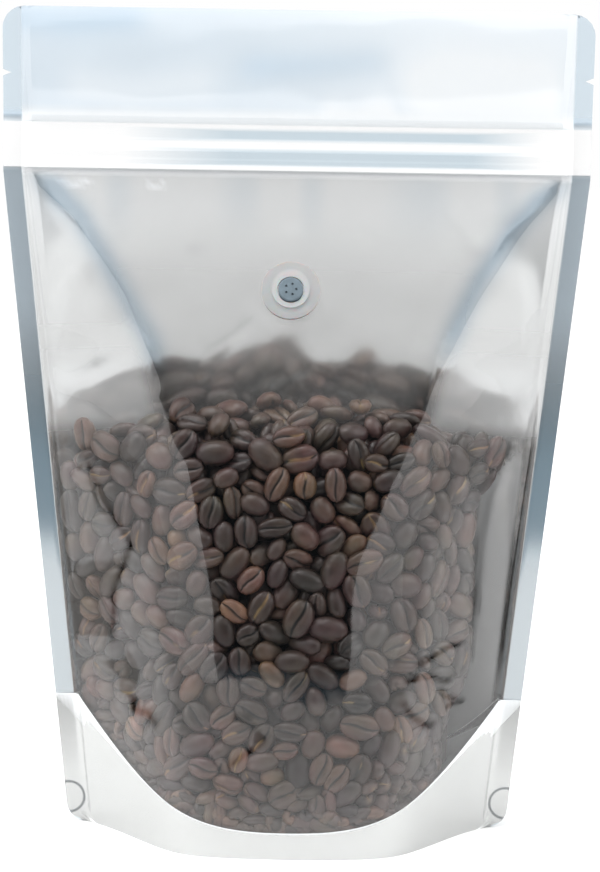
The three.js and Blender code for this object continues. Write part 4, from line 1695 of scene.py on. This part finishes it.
@dataclass(frozen=True)
class Studio:
    """A white tent with a dark slot for the camera, and a pale floor.

    The light on the bag and in its gloss comes from a table that stops short of the camera, not the floor.
    """

    tent: float = 1.0
    floor: str = "#ffffff"
    table: str = "#e8e8e8"
    table_grey: str = "#aeaeae"
    table_front: float = -0.43
    bright: str = "#ffffff"
    room_dark: str = "#2c3235"
    room_low: str = "#768791"
    room_high: str = "#bcbcbc"
    room_back: float = -1.35
    wide: float = 3.0
    flag_left: str = "#e6e3df"

    def lay(self, name: str, front: float, level: float) -> bpy.types.Object:
        """Lay a wide flat sheet under the bag.

        Args:
            name: The sheet's name.
            front: Where it ends towards the camera, in metres.
            level: Its height in metres.

        Returns:
            The sheet.
        """
        side = self.wide
        plan = ((-side, front), (side, front), (side, side), (-side, side))
        sheet = mesh_object(name, np.array([(*place, level) for place in plan]) / MM, [(0, 1, 2, 3)])
        return sheet

    def build_floor(self) -> None:
        """Lay the plain pale floor that the camera sees."""
        floor = self.lay("floor", -self.wide, 0.0001)
        material, tree = new_material("floor_matt_white")
        values = {"Base Color": to_linear(self.floor), "Roughness": 0.7, "Specular IOR Level": 0.2}
        show_surface(tree, add_node(tree, "ShaderNodeBsdfPrincipled", values).outputs[0])
        floor.data.materials.append(material)
        floor.visible_glossy = floor.visible_diffuse = False
        floor.visible_shadow = floor.visible_transmission = False

    def build_table(self) -> None:
        """Lay the table that lights the bag, greyer towards the camera where less light falls."""
        table = self.lay("table", self.table_front, 0.0)
        material, tree = new_material("table_matt_white")
        where = add_node(tree, "ShaderNodeTexCoord")
        split = add_node(tree, "ShaderNodeSeparateXYZ", links={0: where.outputs["Object"]})
        near_share = add_node(tree, "ShaderNodeMapRange", {1: -0.06, 2: -0.14}, {0: split.outputs[1]})
        colour = add_node(
            tree, "ShaderNodeMix", {6: to_linear(self.table), 7: to_linear(self.table_grey)},
            {0: near_share.outputs[0]}, data_type="RGBA",
        )
        shader = add_node(
            tree, "ShaderNodeBsdfPrincipled", {"Roughness": 0.7, "Specular IOR Level": 0.2},
            {"Base Color": colour.outputs[2]},
        )
        show_surface(tree, shader.outputs[0])
        table.data.materials.append(material)
        table.visible_camera = False

    def build_room(self) -> None:
        """Hang the dark room that shows in the welds and in the middle of the film."""
        outline = (
            *((-0.46, -0.165), (0.33, -0.165), (0.38, 0.05), (0.37, 0.2), (0.56, 0.38), (1.2, 0.46)),
            *((1.3, 1.5), (-1.2, 1.5), (-1.1, 0.5), (-0.56, 0.42), (-0.6, 0.1)),
        )
        stops = (
            *((-0.165, self.bright), (-0.14, self.room_low), (-0.09, self.room_low)),
            *((-0.02, self.room_dark), (0.58, self.room_dark), (0.78, self.room_high), (1.2, self.bright)),
        )
        GlowCard("room", tuple((x, self.room_back, z) for x, z in outline), stops).build()
        flags = (
            ("flag_left", (-0.22, 0.0), (-0.11, 0.19), self.flag_left),
            ("flag_right", (0.22, 0.034), (0.11, 0.19), self.room_dark),
        )
        for name, near, far, tone in flags:
            corners = ((*near, 0.002), (*far, 0.002), (*far, 0.22), (*near, 0.22))
            GlowCard(name, corners, ((0.0, tone), (0.22, tone))).build()

    def build(self) -> None:
        """Set up the world, the lights and the table."""
        scene = bpy.context.scene
        scene.view_settings.view_transform = "Standard"
        world = bpy.data.worlds.new("tent")
        scene.world = world
        world.use_nodes = True
        world.node_tree.nodes.clear()
        tent = add_node(
            world.node_tree, "ShaderNodeBackground", {"Color": (1, 1, 1, 1), "Strength": self.tent}
        )
        add_node(world.node_tree, "ShaderNodeOutputWorld", links={"Surface": tent.outputs[0]})
        self.build_floor()
        self.build_table()
        self.build_room()
        Softbox("left_softbox", (-1.1, -0.35, 0.9), (0, 0, 0.1), 1.0, 1.0, 2.4).build()
        Softbox("right_softbox", (1.1, -0.35, 0.9), (0, 0, 0.1), 1.0, 1.0, 2.2).build()
        Softbox("top_softbox", (-0.25, -0.25, 1.35), (0, -0.05, 0.1), 0.8, 0.8, 5.5).build()


def main() -> None:
    """Build the pouch, dress the CAD zip and valve, and set the stage."""
    logging.basicConfig(level=logging.INFO, format="%(name)s: %(message)s")
    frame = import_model()
    form = PouchForm()

    heap = BeanHeap(form, Bean())
    heap.settle()
    roasted = RoastedBean().make()
    for piece in heap.build(roasted):
        hand_over(piece, "beans", "pouch")
    core = heap.build_core()
    # Painted shade: the hidden beans' mass is near-black
    shade = MouldedMass("coffee_beans_in_shadow", "#140f0d", "#2a201c", 0.8, 5.0, 3.0, 1.2)
    core.data.materials.append(shade.make())
    hand_over(core, "beans", "pouch")

    films = Films(form)
    front = films.build_front()
    front.data.materials.append(ClearFilm().make())
    hand_over(front, "clear_film", "pouch")
    back = films.build_back()
    back.data.materials.append(Foil().make("aluminium_foil_laminate"))
    hand_over(back, "foil", "pouch")
    gusset = films.build_gusset()
    punched = Foil(loose="#c6c7c5", loose_roughness=0.22, punch_centre_mm=(60.9, 7.0))
    gusset.data.materials.append(punched.make("aluminium_foil_gusset"))
    hand_over(gusset, "foil", "pouch")

    zip_plastic = ZipPlastic().make()
    tapes = np.array([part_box("zip_front")[0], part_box("zip_back")[1]]) / MM
    for side in (-1, 1):
        crushed = films.build_zip_end(side, tapes)
        crushed.data.materials.append(zip_plastic)
        hand_over(crushed, "zip")
    flange = ValvePlastic().make()
    cap = MouldedMass("polypropylene_cap_moulded", "#5a6972", "#65747e", 0.5, 2.5, 0.25, 0.02).make()
    for node, finish in (
        ("zip_front", zip_plastic),
        ("zip_back", zip_plastic),
        ("valve_flange", flange),
        ("valve_cap", cap),
    ):
        solid = frame["nodes"][node]
        solid.data.materials.clear()
        solid.data.materials.append(finish)
        solid.visible_glossy = not node.startswith("valve")
        LOG.info("%s: dressed", node)

    Studio().build()
    Camera().build()


if __name__ == "__main__":
    main()
